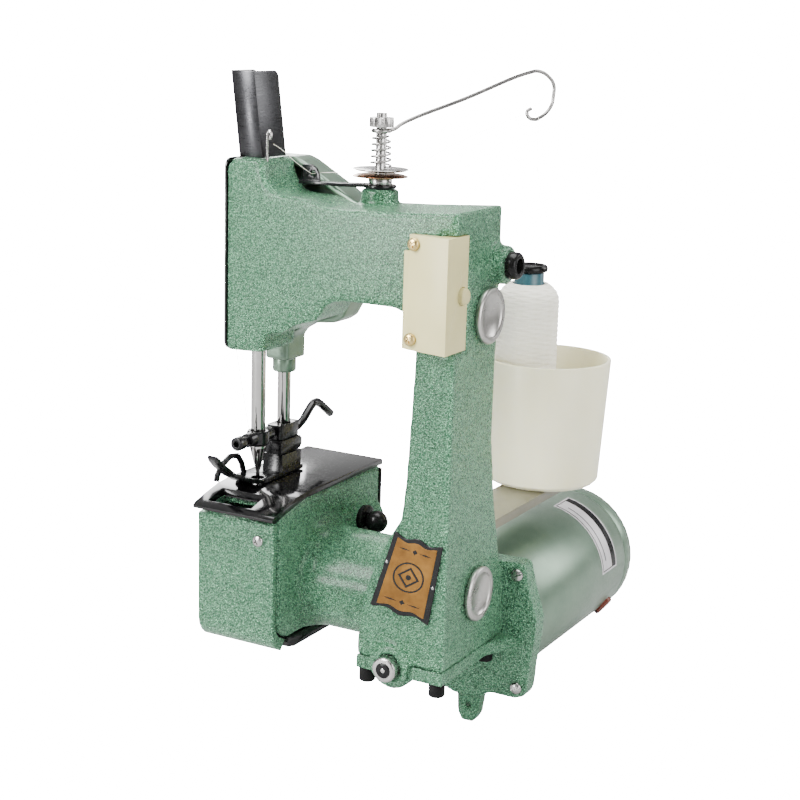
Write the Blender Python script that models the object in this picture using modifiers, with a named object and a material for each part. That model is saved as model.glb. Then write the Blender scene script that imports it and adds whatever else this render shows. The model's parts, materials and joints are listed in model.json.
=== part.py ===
"""Portable bag closer sewing machine: a hand-held chain-stitch machine that sews bag mouths shut.

Lengths are millimetres and become metres when a mesh is made.
Origin: on the hand-grip column's axis, half-way between its two shaft end caps.
+X runs from the sewing head to the column's right face, -Y is the front, +Z is up.
"""
import math

import bmesh
import bpy
from mathutils import Matrix, Vector

MM = 0.001
GAP = 0.3
WELD = 1e-6

# Castings
FRONT_Y = -32.2
SEAM_Y = -3.8
ARM_REAR_Y = 12.3
HEAD_X = -109.1
SEAM_X = -53.0
COLUMN_RIGHT_X = 12.0
HEAD_TOP_Z = 131.5
BASE_SEAM_Z = -96.3
WALL = 2.4

# Sewing line and shafts
NEEDLE_X = -100.0
NEEDLE_Y = -17.8
PRESSER_Y = 4.8
CAP_Z = 66.5
LOWER_SHAFT_Z = -66.5
UPPER_SHAFT_Y = -12.0
UPPER_SHAFT_Z = 90.9
CRANK_RADIUS = 10.0
CRANK_ANGLE = math.radians(187.0)
ROD_LENGTH = 26.0
SHAFT_RADIUS = 4.0
PULLEY_RADIUS = 7.6
BELT_THICKNESS = 1.1
IDLER_Y = -3.0
IDLER_RADIUS = 4.4

# Motor
MOTOR_X = -14.8
MOTOR_Z = -98.0
MOTOR_RADIUS = 36.9
MOTOR_FRONT_Y = 44.0
MOTOR_REAR_Y = 183.0
BRACKET_FRONT_Y = 33.0
BRACKET_SCREWS = [(18.1, -66.2), (20.2, -124.5), (-44.0, -98.0)]

# Looper box and throat plate
BOX_LEFT_X = -116.0
BOX_RIGHT_X = -71.5
BOX_FRONT_Y = -41.5
BOX_REAR_Y = 53.0
BOX_BOTTOM_Z = -96.0
TABLE_Z = -26.1
TUBE_Z = -73.0
TUBE_RADIUS = 25.0
LATCH = (28.5, -51.5)

# Thread supply
POST_X = -45.5
CUP_X = -5.0
CUP_Y = 108.2
CONE_X = -14.7
CONE_Y = 102.9
CUP_FLOOR_Z = -38.0

PARTS = "bag_closer"
CUTTERS = "bag_closer_cutters"

# Outlines of the main casting: (X, Z) seen from the front and (Y, Z) seen from the right
ARM_TOP = [(12.0, 115.5), (-20.0, 113.4), (-45.0, 112.3), (-55.4, 112.4)]
HEAD_TOP_FRONT = [(-65.0, 115.2), (-80.7, 116.2), (-84.0, 117.5), (-88.6, 124.0),
                  (-89.6, 129.5), (-92.0, HEAD_TOP_Z), (-105.6, HEAD_TOP_Z), (HEAD_X, 128.0)]
HEAD_BOTTOM_FRONT = [(HEAD_X, 40.6), (-88.4, 41.7), (-87.6, 50.6), (-79.0, 52.0), (-70.6, 56.9),
                     (-60.8, 59.7), (-58.2, 62.7), (-55.1, 67.3)]
ARM_BOTTOM = [(-50.3, 69.9), (-42.1, 70.8), (-19.0, 70.7), (-13.0, 68.6), (-9.4, 64.0), (-7.6, 57.0)]
COLUMN_LEFT = [(-7.6, 50.4), (-8.3, 32.1), (-9.4, 11.6), (-10.3, -7.3), (-12.3, -26.6), (-17.3, -34.7),
               (-24.8, -48.2), (-31.3, -69.1), (-34.0, -89.6), (-34.0, BASE_SEAM_Z)]
COLUMN_REAR = [(ARM_REAR_Y, 140.0), (ARM_REAR_Y, 66.0), (11.5, 42.8), (11.5, 5.5), (16.7, -25.0),
               (25.3, -57.4), (29.2, -63.6), (32.0, BASE_SEAM_Z)]


# ---------------------------------------------------------------- helpers
def clear_scene():
    for obj in list(bpy.data.objects):
        bpy.data.objects.remove(obj, do_unlink=True)
    for name in (PARTS, CUTTERS):
        collection = bpy.data.collections.new(name)
        bpy.context.scene.collection.children.link(collection)


def add_object(name, bm):
    mesh = bpy.data.meshes.new(name)
    bm.to_mesh(mesh)
    bm.free()
    obj = bpy.data.objects.new(name, mesh)
    bpy.data.collections[PARTS].objects.link(obj)
    return obj


def box(name, x_span, y_span, z_span):
    bm = bmesh.new()
    bmesh.ops.create_cube(bm, size=1.0)
    spans = (x_span, y_span, z_span)
    size = [abs(span[1] - span[0]) * MM for span in spans]
    centre = [(span[0] + span[1]) * 0.5 * MM for span in spans]
    place = Matrix.Translation(centre) @ Matrix.Diagonal((*size, 1.0))
    bmesh.ops.transform(bm, matrix=place, verts=bm.verts)
    return add_object(name, bm)


def circle(centre_u, centre_v, radius, sides=16, start=0.0):
    """Closed round outline."""
    step = 2.0 * math.pi / sides
    return [(centre_u + radius * math.cos(start + i * step), centre_v + radius * math.sin(start + i * step))
            for i in range(sides)]


def arc(centre_u, centre_v, radius, start_deg, end_deg, count):
    """Open round stretch with count + 1 points."""
    angles = [math.radians(start_deg + (end_deg - start_deg) * i / count) for i in range(count + 1)]
    return [(centre_u + radius * math.cos(a), centre_v + radius * math.sin(a)) for a in angles]


def rounded(u_span, v_span, radius, count=4):
    """Closed rectangle with round corners."""
    u0, u1 = u_span
    v0, v1 = v_span
    corners = [(u1 - radius, v1 - radius, 0), (u0 + radius, v1 - radius, 90),
               (u0 + radius, v0 + radius, 180), (u1 - radius, v0 + radius, 270)]
    outline = []
    for centre_u, centre_v, start in corners:
        outline += arc(centre_u, centre_v, radius, start, start + 90, count)
    return outline


PLANES = {
    "XY": Matrix(((1, 0, 0, 0), (0, 1, 0, 0), (0, 0, 1, 0), (0, 0, 0, 1))),
    "XZ": Matrix(((1, 0, 0, 0), (0, 0, -1, 0), (0, 1, 0, 0), (0, 0, 0, 1))),
    "YZ": Matrix(((0, 0, 1, 0), (1, 0, 0, 0), (0, 1, 0, 0), (0, 0, 0, 1))),
}
NORMALS = {"XY": Vector((0, 0, 1)), "XZ": Vector((0, 1, 0)), "YZ": Vector((1, 0, 0))}


def baked(name, source):
    """The source's evaluated mesh, closed, as a mesh object in the same place; the source is removed."""
    bpy.context.view_layer.update()
    depsgraph = bpy.context.evaluated_depsgraph_get()
    mesh = bpy.data.meshes.new_from_object(source.evaluated_get(depsgraph))
    mesh.transform(source.matrix_world)
    bm = bmesh.new()
    bm.from_mesh(mesh)
    bmesh.ops.remove_doubles(bm, verts=bm.verts, dist=WELD)
    bmesh.ops.holes_fill(bm, edges=[edge for edge in bm.edges if edge.is_boundary], sides=0)
    bmesh.ops.recalc_face_normals(bm, faces=bm.faces)
    bpy.data.objects.remove(source, do_unlink=True)
    bpy.data.meshes.remove(mesh)
    return add_object(name, bm)


def prism(name, plane, outline, low, high, holes=()):
    """Solid between low and high along the normal of plane, with through holes."""
    data = bpy.data.curves.new(name + "_outline", "CURVE")
    data.dimensions = "2D"
    data.fill_mode = "BOTH"
    data.extrude = abs(high - low) * 0.5 * MM
    for points in (outline, *holes):
        spline = data.splines.new("POLY")
        spline.points.add(len(points) - 1)
        for point, (u, v) in zip(spline.points, points):
            point.co = (u * MM, v * MM, 0.0, 1.0)
        spline.use_cyclic_u = True
    obj = bpy.data.objects.new(name + "_outline", data)
    bpy.data.collections[PARTS].objects.link(obj)
    obj.matrix_world = Matrix.Translation(NORMALS[plane] * (low + high) * 0.5 * MM) @ PLANES[plane]
    return baked(name, obj)


def turned(name, axis, centre, profile, sides=24):
    """Solid of revolution with flat ends; profile holds (distance along the axis, radius).

    centre gives the two coordinates across the axis, in X, Y, Z order.
    """
    bm = bmesh.new()
    verts = [bm.verts.new((radius * MM, 0.0, along * MM)) for along, radius in profile]
    for first, second in zip(verts, verts[1:]):
        bm.edges.new((first, second))
    source = add_object(name + "_profile", bm)
    screw = source.modifiers.new("turn", "SCREW")
    screw.steps = sides
    screw.render_steps = sides
    screw.use_merge_vertices = True
    screw.merge_threshold = WELD
    if axis == "X":
        place, turn = (0.0, centre[0], centre[1]), Matrix.Rotation(math.pi / 2, 4, "Y")
    elif axis == "Y":
        place, turn = (centre[0], 0.0, centre[1]), Matrix.Rotation(-math.pi / 2, 4, "X")
    else:
        place, turn = (centre[0], centre[1], 0.0), Matrix.Identity(4)
    source.matrix_world = Matrix.Translation([value * MM for value in place]) @ turn
    obj = baked(name, source)
    obj.data.shade_smooth()
    return obj


def rod(name, axis, centre, low, high, radius, sides=16):
    return turned(name, axis, centre, [(low, radius), (high, radius)], sides)


def tube(name, points, radius, resolution=2, cyclic=False):
    """Round wire through the points, with filled ends."""
    data = bpy.data.curves.new(name + "_wire", "CURVE")
    data.dimensions = "3D"
    data.bevel_depth = radius * MM
    data.bevel_resolution = resolution
    data.use_fill_caps = True
    spline = data.splines.new("POLY")
    spline.points.add(len(points) - 1)
    for point, place in zip(spline.points, points):
        point.co = (*(value * MM for value in place), 1.0)
    spline.use_cyclic_u = cyclic
    obj = bpy.data.objects.new(name + "_wire", data)
    bpy.data.collections[PARTS].objects.link(obj)
    return baked(name, obj)


def coil(name, centre, radius, wire, low, high, turns, sides=9):
    """Compression spring round a Z axis."""
    count = turns * sides
    step = 2.0 * math.pi / sides
    route = [(centre[0] + radius * math.cos(i * step), centre[1] + radius * math.sin(i * step),
              low + (high - low) * i / count) for i in range(count + 1)]
    return tube(name, route, wire, 0)


def smooth_route(points, steps):
    """Points along a Catmull-Rom curve through the given points."""
    padded = [points[0], *points, points[-1]]
    route = []
    for i in range(1, len(padded) - 2):
        p0, p1, p2, p3 = (Vector(padded[i + k]) for k in (-1, 0, 1, 2))
        for k in range(steps):
            t = k / steps
            route.append(0.5 * (2 * p1 + (p2 - p0) * t + (2 * p0 - 5 * p1 + 4 * p2 - p3) * t ** 2
                                + (3 * p1 - p0 - 3 * p2 + p3) * t ** 3))
    route.append(Vector(points[-1]))
    return route


def boolean(target, tool, operation):
    """Adds a live Boolean and moves its tool to the cutter collection."""
    modifier = target.modifiers.new(operation.lower(), "BOOLEAN")
    modifier.operation = operation
    modifier.solver = "EXACT"
    modifier.object = tool
    bpy.data.collections[PARTS].objects.unlink(tool)
    bpy.data.collections[CUTTERS].objects.link(tool)
    tool.hide_render = True
    tool.display_type = "WIRE"


def cut(target, *tools):
    for tool in tools:
        boolean(target, tool, "DIFFERENCE")


def join(target, *tools):
    for tool in tools:
        boolean(target, tool, "UNION")


def keep_common(target, tool):
    boolean(target, tool, "INTERSECT")


MATERIALS = {
    "green_hammertone": ((0.16, 0.34, 0.25), 0.35, 0.4),
    "green_smooth": ((0.30, 0.40, 0.35), 0.4, 0.2),
    "black_enamel": ((0.01, 0.01, 0.012), 0.15, 0.0),
    "black_steel": ((0.02, 0.02, 0.02), 0.35, 0.7),
    "steel": ((0.62, 0.62, 0.62), 0.2, 1.0),
    "chrome": ((0.8, 0.8, 0.8), 0.08, 1.0),
    "brass": ((0.65, 0.48, 0.2), 0.3, 1.0),
    "copper": ((0.6, 0.35, 0.2), 0.3, 1.0),
    "grey_sheet": ((0.2, 0.2, 0.21), 0.4, 0.8),
    "rubber": ((0.02, 0.02, 0.02), 0.8, 0.0),
    "cream_plastic": ((0.8, 0.77, 0.66), 0.4, 0.0),
    "clear_plastic": ((0.85, 0.86, 0.8), 0.3, 0.0),
    "black_plastic": ((0.02, 0.02, 0.02), 0.45, 0.0),
    "teal_plastic": ((0.07, 0.18, 0.22), 0.45, 0.0),
    "yarn_white": ((0.9, 0.89, 0.82), 0.9, 0.0),
}


def paint(obj, material_name):
    material = bpy.data.materials.get(material_name)
    if material is None:
        colour, roughness, metallic = MATERIALS[material_name]
        material = bpy.data.materials.new(material_name)
        material.use_nodes = True
        shader = material.node_tree.nodes["Principled BSDF"]
        shader.inputs["Base Color"].default_value = (*colour, 1.0)
        shader.inputs["Roughness"].default_value = roughness
        shader.inputs["Metallic"].default_value = metallic
    obj.data.materials.clear()
    obj.data.materials.append(material)
    return obj


def set_origin(obj, x, y, z):
    """Moves the object's origin onto its joint axis without moving the mesh."""
    place = Vector((x, y, z)) * MM
    obj.data.transform(Matrix.Translation(-place))
    obj.location = place
    bpy.context.view_layer.update()


# ---------------------------------------------------------------- castings
def inner_profile():
    """Rear profile of the hollow column and base."""
    return [(-29.4, 109.0), (8.8, 109.0), (8.8, 42.8), (8.6, 5.5), (13.6, -26.0), (22.0, -58.5),
            (26.2, -65.0), (28.6, BASE_SEAM_Z - 2), (-29.4, BASE_SEAM_Z - 2)]


def body_casting():
    silhouette = HEAD_BOTTOM_FRONT + ARM_BOTTOM + COLUMN_LEFT + [(COLUMN_RIGHT_X, BASE_SEAM_Z)]
    body = prism("body_casting", "XZ", silhouette + ARM_TOP + HEAD_TOP_FRONT, FRONT_Y, 40.0)
    profile = [(FRONT_Y - 5, BASE_SEAM_Z - 5), (FRONT_Y - 5, 140.0), *COLUMN_REAR, (32.4, BASE_SEAM_Z - 5)]
    keep_common(body, prism("column_profile", "YZ", profile, -120.0, 20.0))
    cut(body, box("cover_seat", (-120.0, SEAM_X), (SEAM_Y - GAP / 2, 50.0), (0.0, 150.0)))
    join(body, rod("tension_boss", "Z", (POST_X, 0.0), 108.0, 119.5, 8.8, 28))
    join(body, rod("gland_boss", "X", (8.0, 89.0), -2.0, 18.5, 9.0, 28))

    cut(body, box("head_hollow", (HEAD_X - 2, -90.6), (-29.8, 0.0), (47.0, 129.1)))
    cut(body, box("arm_hollow", (-80.0, -14.0), (-29.8, 9.0), (74.0, 109.0)))
    belt_room = [(-29.4, 109.0), (8.8, 109.0), (8.8, 42.8), (8.6, -30.0), (-29.4, -30.0)]
    cut(body, prism("belt_hollow", "YZ", belt_room, -7.0, 2.4))
    cut(body, box("column_hollow", (2.0, 9.6), (-18.4, 8.7), (-30.0, 109.0)))
    base = [(-6.0, -22.0), (8.8, -22.0), (8.8, BASE_SEAM_Z - 2), (-31.0, BASE_SEAM_Z - 2), (-31.0, -90.0),
            (-28.3, -69.5), (-22.2, -49.5), (-14.5, -36.5)]
    base_hollow = prism("base_hollow", "XZ", base, -29.4, 30.0)
    keep_common(base_hollow, prism("base_hollow_profile", "YZ", inner_profile(), -40.0, 20.0))
    cut(body, base_hollow)

    for name, low, high in (("bearing_bore_left", -92.0, -78.0), ("bearing_bore_right", -16.0, -5.0)):
        cut(body, rod(name, "X", (UPPER_SHAFT_Y, UPPER_SHAFT_Z), low, high, SHAFT_RADIUS + GAP, 20))
    for name, z in (("upper_cap_bore", CAP_Z), ("lower_cap_bore", LOWER_SHAFT_Z)):
        cut(body, rod(name, "X", (0.0, z), 8.0, 14.0, 8.5, 24))
    cut(body, rod("lower_shaft_bore", "X", (0.0, LOWER_SHAFT_Z), -40.0, -20.0, SHAFT_RADIUS + GAP, 20))
    cut(body, rod("needle_bar_bore", "Z", (NEEDLE_X, NEEDLE_Y), 36.0, 50.0, 3.9))
    cut(body, rod("needle_bar_top_bore", "Z", (NEEDLE_X, NEEDLE_Y), 125.0, 135.0, 4.1))
    cut(body, rod("take_up_bore", "Z", (-92.4, -23.8), 125.0, 135.0, 1.5, 12))
    cut(body, box("thread_slot", (-108.4, -104.0), (-28.6, -24.2), (36.0, 50.0)))
    hub_profile = [(FRONT_Y - 3.2, 9.9), (FRONT_Y - 2.8, 10.3), (FRONT_Y - GAP, 10.3)]
    hub = turned("front_hub", "Y", (MOTOR_X, MOTOR_Z + 0.4), hub_profile, 32)
    join(hub, box("hub_root", (-23.0, -7.0), (FRONT_Y - 1.0, FRONT_Y + 2.0), (BASE_SEAM_Z + 0.2, -91.0)))
    cut(hub, rod("hub_bore", "Y", (MOTOR_X, MOTOR_Z), FRONT_Y - 5, FRONT_Y + 4, 6.4, 24))
    join(body, hub)
    cut(body, rod("motor_shaft_notch", "Y", (MOTOR_X, MOTOR_Z), FRONT_Y - 2, 40.0, 3.6))
    cut(body, box("switch_recess", (4.3, 14.0), (FRONT_Y - 3, -20.4), (53.4, 105.3)))
    return paint(body, "green_hammertone")


def head_rear_cover():
    outer = [(HEAD_X, 40.6), (-105.8, 40.6), (-105.8, 32.3), (-92.6, 32.3), (-92.6, 43.5), (-90.0, 47.0),
             (-84.0, 50.6), (-77.0, 53.0), (-67.0, 54.0), (-62.5, 57.0), (-60.0, 61.5), (-57.2, 66.5),
             (SEAM_X - GAP, 68.8), (SEAM_X - GAP, 111.8), (-58.0, 113.7), (-86.0, 129.8),
             (-90.5, HEAD_TOP_Z),
             (-105.6, HEAD_TOP_Z), (HEAD_X, 128.0)]
    cover = prism("head_rear_cover", "XZ", outer, SEAM_Y + GAP / 2, ARM_REAR_Y)
    inner = [(HEAD_X - 2, 49.5), (-88.0, 52.5), (-72.0, 57.0), (-64.0, 60.5), (-58.5, 70.0), (-50.0, 74.0),
             (-50.0, 109.0), (-60.0, 110.0), (-88.0, 126.5), (HEAD_X - 2, 129.1)]
    cut(cover, prism("cover_hollow", "XZ", inner, SEAM_Y - 3, 9.9))
    cut(cover, rod("boss_clearance", "Z", (POST_X, 0.0), 100.0, 130.0, 9.2, 28))
    cut(cover, rod("presser_bore", "Z", (NEEDLE_X, PRESSER_Y), 28.0, 52.0, 4.7))
    shelf = box("spring_shelf", (-106.5, -93.6), (-1.0, 10.5), (95.2, 99.0))
    cut(shelf, rod("shelf_bore", "Z", (NEEDLE_X, PRESSER_Y), 90.0, 102.0, 3.8))
    join(cover, shelf)
    return paint(cover, "green_smooth")


def head_end_cover():
    outline = rounded((FRONT_Y + 0.4, ARM_REAR_Y - 0.4), (40.9, HEAD_TOP_Z - 0.2), 4.0, 3)
    return paint(prism("head_end_cover", "YZ", outline, HEAD_X - 1.6, HEAD_X - GAP), "black_enamel")


def looper_housing():
    """Box under the needle, with the round arm that ties it to the base."""
    top = TABLE_Z - 3.0 - GAP
    outline = [(BOX_FRONT_Y, top - 5.0), (-18.5, top), (BOX_REAR_Y, top), (BOX_REAR_Y, BOX_BOTTOM_Z),
               (-33.0, BOX_BOTTOM_Z), *arc(-33.0, BOX_BOTTOM_Z + 9.0, 8.5, 250, 182, 3)]
    housing = prism("looper_housing", "YZ", outline, BOX_LEFT_X, BOX_RIGHT_X)
    tube_profile = [(BOX_RIGHT_X - 1.0, TUBE_RADIUS + 5.5), (BOX_RIGHT_X + 0.6, TUBE_RADIUS + 4.2),
                    (BOX_RIGHT_X + 2.6, TUBE_RADIUS + 1.6), (BOX_RIGHT_X + 6.5, TUBE_RADIUS),
                    (-20.0, TUBE_RADIUS)]
    arm = turned("lower_arm", "X", (1.0, TUBE_Z), tube_profile, 40)
    keep_common(arm, box("arm_trim", (BOX_RIGHT_X - 0.5, -10.0), (-40.0, 40.0), (BOX_BOTTOM_Z, 0.0)))
    clearance = [(x - 0.4, z) for x, z in COLUMN_LEFT[3:]]
    slope = [*clearance, (-34.4, BASE_SEAM_Z - 15), (20.0, BASE_SEAM_Z - 15), (20.0, -7.3)]
    cut(arm, prism("base_clearance", "XZ", slope, -60.0, 60.0))
    join(housing, arm)
    join(housing, rod("latch_boss", "Y", (BOX_RIGHT_X - 3.5, -55.0), 4.0, 50.0, 9.0, 24))
    join(housing, turned("latch_seat", "X", LATCH, [(-74.0, 7.2), (-65.8, 7.2), (-65.2, 6.6)], 24))
    inside = [(-45.0, -39.0), (-24.0, -34.5), (50.0, -32.4), (50.0, -99.0), (-45.0, -99.0)]
    cut(housing, prism("looper_space", "YZ", inside, BOX_LEFT_X + 3, BOX_RIGHT_X - 3))
    cut(housing, rod("arm_bore", "X", (1.0, TUBE_Z), BOX_RIGHT_X - 5, -10.0, 20.5, 32))
    cut(housing, box("needle_window", (-109.0, -91.0), (-27.0, 15.0), (-36.0, -25.0)))
    cut(housing, box("front_window", (-112.0, -85.0), (-48.0, -30.0), (-45.0, -25.0)))
    cut(housing, rod("knob_bore", "X", LATCH, BOX_RIGHT_X - 8, -50.0, 2.4, 12))
    return paint(housing, "green_hammertone")


def looper_front_cover():
    front = BOX_FRONT_Y - GAP
    outline = [(front, -36.8), (front - 3.2, -37.4), (front - 3.2, BOX_BOTTOM_Z + 5.0)]
    outline += arc(-33.0, BOX_BOTTOM_Z + 5.4, 12.0, 184, 250, 4)
    outline += [(-33.4, BOX_BOTTOM_Z - 1.2)]
    outline += arc(-33.0, BOX_BOTTOM_Z + 8.7, 9.1, 256, 184, 3)
    cover = prism("looper_front_cover", "YZ", outline, BOX_LEFT_X, BOX_RIGHT_X - 1.2)
    return paint(cover, "green_hammertone")


def looper_bottom_cover():
    low = BOX_BOTTOM_Z - 6.6
    seat = BOX_BOTTOM_Z - GAP
    outline = [(-32.4, seat), (BOX_REAR_Y + GAP, seat), (BOX_REAR_Y + GAP, TABLE_Z - 5),
               (BOX_REAR_Y + 2.2, TABLE_Z - 5), (BOX_REAR_Y + 2.2, low + 3), (BOX_REAR_Y - 1.0, low),
               (-27.0, low), (-32.4, low + 1.4)]
    cover = prism("looper_bottom_cover", "YZ", outline, BOX_LEFT_X, BOX_RIGHT_X)
    cut(cover, box("bottom_cover_hollow", (BOX_LEFT_X + 2, BOX_RIGHT_X - 2), (-24.0, BOX_REAR_Y - 3),
                   (BOX_BOTTOM_Z - 4.4, BOX_BOTTOM_Z + 1)))
    return paint(cover, "black_enamel")


def throat_plate():
    top = TABLE_Z
    outline = [(-48.2, -34.6), (-48.6, -33.2), (-47.0, -32.0), (-38.0, -29.4), (-28.0, -27.0), (-18.5, top),
               (BOX_REAR_Y + 0.8, top), (BOX_REAR_Y + 1.4, top - 1.0), (BOX_REAR_Y + 1.4, top - 3.0),
               (-18.5, top - 3.0), (-38.0, -33.0), (-46.0, -35.4)]
    plate = prism("throat_plate", "YZ", outline, BOX_LEFT_X - 0.5, BOX_RIGHT_X + 0.5)
    cut(plate, box("front_opening", (-111.0, -86.0), (-44.0, -31.5), (-40.0, -20.0)))
    cut(plate, rod("needle_hole", "Z", (NEEDLE_X, NEEDLE_Y), -35.0, -20.0, 2.8, 16))
    for name, x in (("feed_slot_left", -104.0), ("feed_slot_right", -96.0)):
        cut(plate, box(name, (x - 1.6, x + 1.6), (-9.0, 12.0), (-35.0, -20.0)))
    return paint(plate, "black_enamel")


def base_plate():
    low = BASE_SEAM_Z - 6.6
    top = BASE_SEAM_Z - GAP
    outline = [(-34.0, FRONT_Y), (COLUMN_RIGHT_X, FRONT_Y), (COLUMN_RIGHT_X, 13.5), (22.5, 32.7),
               (-34.0, 32.7)]
    plate = prism("base_plate", "XY", outline, low, top)
    join(plate, rod("worm_bulge", "Y", (MOTOR_X, MOTOR_Z), FRONT_Y, 32.7, 11.5, 32))
    keep_common(plate, box("plate_trim", (-50.0, 40.0), (-40.0, 40.0), (-130.0, top)))
    join(plate, turned("shelf_gusset", "Z", (15.4, 28.2), [(low - 8.0, 1.5), (low + 1.0, 4.2)], 14))
    cut(plate, rod("worm_tunnel", "Y", (MOTOR_X, MOTOR_Z), FRONT_Y + 3, 29.5, 9.3, 24))
    cut(plate, rod("shaft_tunnel", "Y", (MOTOR_X, MOTOR_Z), FRONT_Y - 2, 40.0, 3.6))
    return paint(plate, "green_hammertone")


def hub_sleeve():
    profile = [(-39.8, 5.3), (-39.2, 6.0), (FRONT_Y - GAP, 6.0)]
    sleeve = turned("hub_sleeve", "Y", (MOTOR_X, MOTOR_Z), profile, 28)
    cut(sleeve, rod("sleeve_bore", "Y", (MOTOR_X, MOTOR_Z), -38.0, FRONT_Y + 2, 3.4))
    return paint(sleeve, "steel")


def rubber_feet():
    """Four identical feet under the base plate."""
    places = {"front_left": (-29.8, -28.0), "front_right": (7.0, -27.0), "rear_right": (6.2, 25.0),
              "rear_left": (-29.9, 26.0)}
    seat = BASE_SEAM_Z - 6.6 - GAP
    for corner, place in places.items():
        foot = turned("rubber_foot_" + corner, "Z", place, [(-110.0, 3.2), (-109.4, 3.9), (seat, 3.9)], 16)
        paint(foot, "rubber")


# ---------------------------------------------------------------- motor
def motor_bracket():
    outline = [(10.5, -60.5), (18.0, -60.0), (21.2, -61.0), (24.7, -73.9), (29.1, -87.4), (28.6, -97.9),
               (26.6, -111.4), (25.6, -124.8), (24.0, -128.6), (19.3, -130.5), (5.6, -130.5),
               (-0.5, -134.5),
               (-2.2, -146.0), (-4.6, -149.9), (-10.8, -149.9), (-13.2, -146.0), (-14.0, -134.9),
               (-38.0, -127.0), (-50.0, -110.0), (-51.5, -96.0), (-47.0, -80.0), (-34.0, -66.0),
               (-14.8, -60.5)]
    ear_hole = circle(-7.7, -141.8, 1.9, 14)
    screw_holes = [circle(x, z, 2.4, 12) for x, z in BRACKET_SCREWS]
    shaft_hole = circle(MOTOR_X, MOTOR_Z, 9.0, 24)
    plate = prism("motor_bracket", "XZ", outline, BRACKET_FRONT_Y, MOTOR_FRONT_Y - GAP,
                  [ear_hole, shaft_hole, *screw_holes])
    cut(plate, box("ear_step", (-20.0, 2.0), (BRACKET_FRONT_Y - 2, BRACKET_FRONT_Y + 3.0),
                   (-155.0, -135.0)))
    return paint(plate, "green_hammertone")


def motor_shell():
    """Steel shell; its field magnets are bonded inside and belong to it."""
    rear = MOTOR_REAR_Y - 14.0
    profile = [(MOTOR_FRONT_Y, MOTOR_RADIUS - 0.6), (MOTOR_FRONT_Y + 1.0, MOTOR_RADIUS),
               (rear, MOTOR_RADIUS)]
    shell = turned("motor_shell", "Y", (MOTOR_X, MOTOR_Z), profile, 40)
    cut(shell, rod("shell_bore", "Y", (MOTOR_X, MOTOR_Z), MOTOR_FRONT_Y - 2, rear + 2,
                   MOTOR_RADIUS - 2.2, 28))
    magnets = rod("field_magnets", "Y", (MOTOR_X, MOTOR_Z), 66.0, 146.0, MOTOR_RADIUS - 1.5, 24)
    cut(magnets, rod("magnet_bore", "Y", (MOTOR_X, MOTOR_Z), 60.0, 150.0, 26.0, 16))
    join(shell, magnets)
    return paint(shell, "green_smooth")


def motor_end_cap():
    rear = MOTOR_REAR_Y
    profile = [(rear - 13.7, MOTOR_RADIUS), (rear - 6.0, MOTOR_RADIUS), (rear - 3.0, MOTOR_RADIUS - 0.8),
               (rear - 1.0, MOTOR_RADIUS - 2.8), (rear, MOTOR_RADIUS - 5.5)]
    cap = turned("motor_end_cap", "Y", (MOTOR_X, MOTOR_Z), profile, 40)
    cut(cap, rod("cap_hollow", "Y", (MOTOR_X, MOTOR_Z), rear - 20, rear - 3.0, MOTOR_RADIUS - 5.5, 24))
    for i in range(6):
        angle = math.radians(60 * i + 19)
        x = MOTOR_X + 22.0 * math.cos(angle)
        z = MOTOR_Z + 22.0 * math.sin(angle)
        cut(cap, rod("vent_%d" % i, "Y", (x, z), rear - 6, rear + 2, 2.8, 9))
    return paint(cap, "green_smooth")


def motor_rotor():
    """Armature and shaft, with the worm's turns standing as rings."""
    profile = [(-37.0, 3.0), (-9.2, 3.0)]
    for i in range(6):
        y = -9.0 + i * 3.2
        profile += [(y, 6.4), (y + 0.4, 8.2), (y + 1.5, 8.2), (y + 1.9, 6.4)]
    profile += [(9.4, 3.0), (71.0, 3.0), (71.2, 24.0), (141.0, 24.0), (141.2, 9.0), (160.0, 9.0),
                (160.2, 3.0), (176.0, 3.0)]
    rotor = turned("motor_rotor", "Y", (MOTOR_X, MOTOR_Z), profile, 14)
    set_origin(rotor, MOTOR_X, 0.0, MOTOR_Z)
    return paint(rotor, "steel")


# ---------------------------------------------------------------- drive train
def toothed(name, centre, teeth, root, tip, low, high):
    """Straight-toothed wheel on an X axis."""
    outline = []
    for i in range(teeth):
        angle = 2.0 * math.pi * i / teeth
        pitch = 2.0 * math.pi / teeth
        for radius, share in ((root, -0.32), (tip, -0.14), (tip, 0.14), (root, 0.32)):
            outline.append((centre[0] + radius * math.cos(angle + share * pitch),
                            centre[1] + radius * math.sin(angle + share * pitch)))
    return prism(name, "YZ", outline, low, high)


def worm_wheel():
    wheel = toothed("worm_wheel", (0.0, LOWER_SHAFT_Z), 36, 20.4, 22.4, -18.2, -10.8)
    cut(wheel, rod("wheel_bore", "X", (0.0, LOWER_SHAFT_Z), -25.0, -5.0, 5.3, 20))
    set_origin(wheel, 0.0, 0.0, LOWER_SHAFT_Z)
    return paint(wheel, "brass")


def lower_shaft():
    """Lower shaft with its feed eccentric; a collar carries the worm wheel."""
    shaft = turned("lower_shaft", "X", (0.0, LOWER_SHAFT_Z),
                   [(-109.6, 4.0), (-24.0, 4.0), (-23.8, 5.0), (-7.6, 5.0), (-7.4, 4.0), (8.4, 4.0)], 12)
    join(shaft, rod("feed_eccentric", "X", (1.5, LOWER_SHAFT_Z), -92.0, -87.0, 7.0, 16))
    join(shaft, pulley("lower_pulley", 0.0, LOWER_SHAFT_Z))
    set_origin(shaft, 0.0, 0.0, LOWER_SHAFT_Z)
    return paint(shaft, "steel")


def pulley(name, y, z):
    """Flanged belt pulley pressed on its shaft."""
    return turned(name, "X", (y, z), [(-6.8, 9.4), (-6.0, 9.4), (-5.9, PULLEY_RADIUS), (1.4, PULLEY_RADIUS),
                                      (1.5, 9.4), (2.1, 9.4)], 16)


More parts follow.
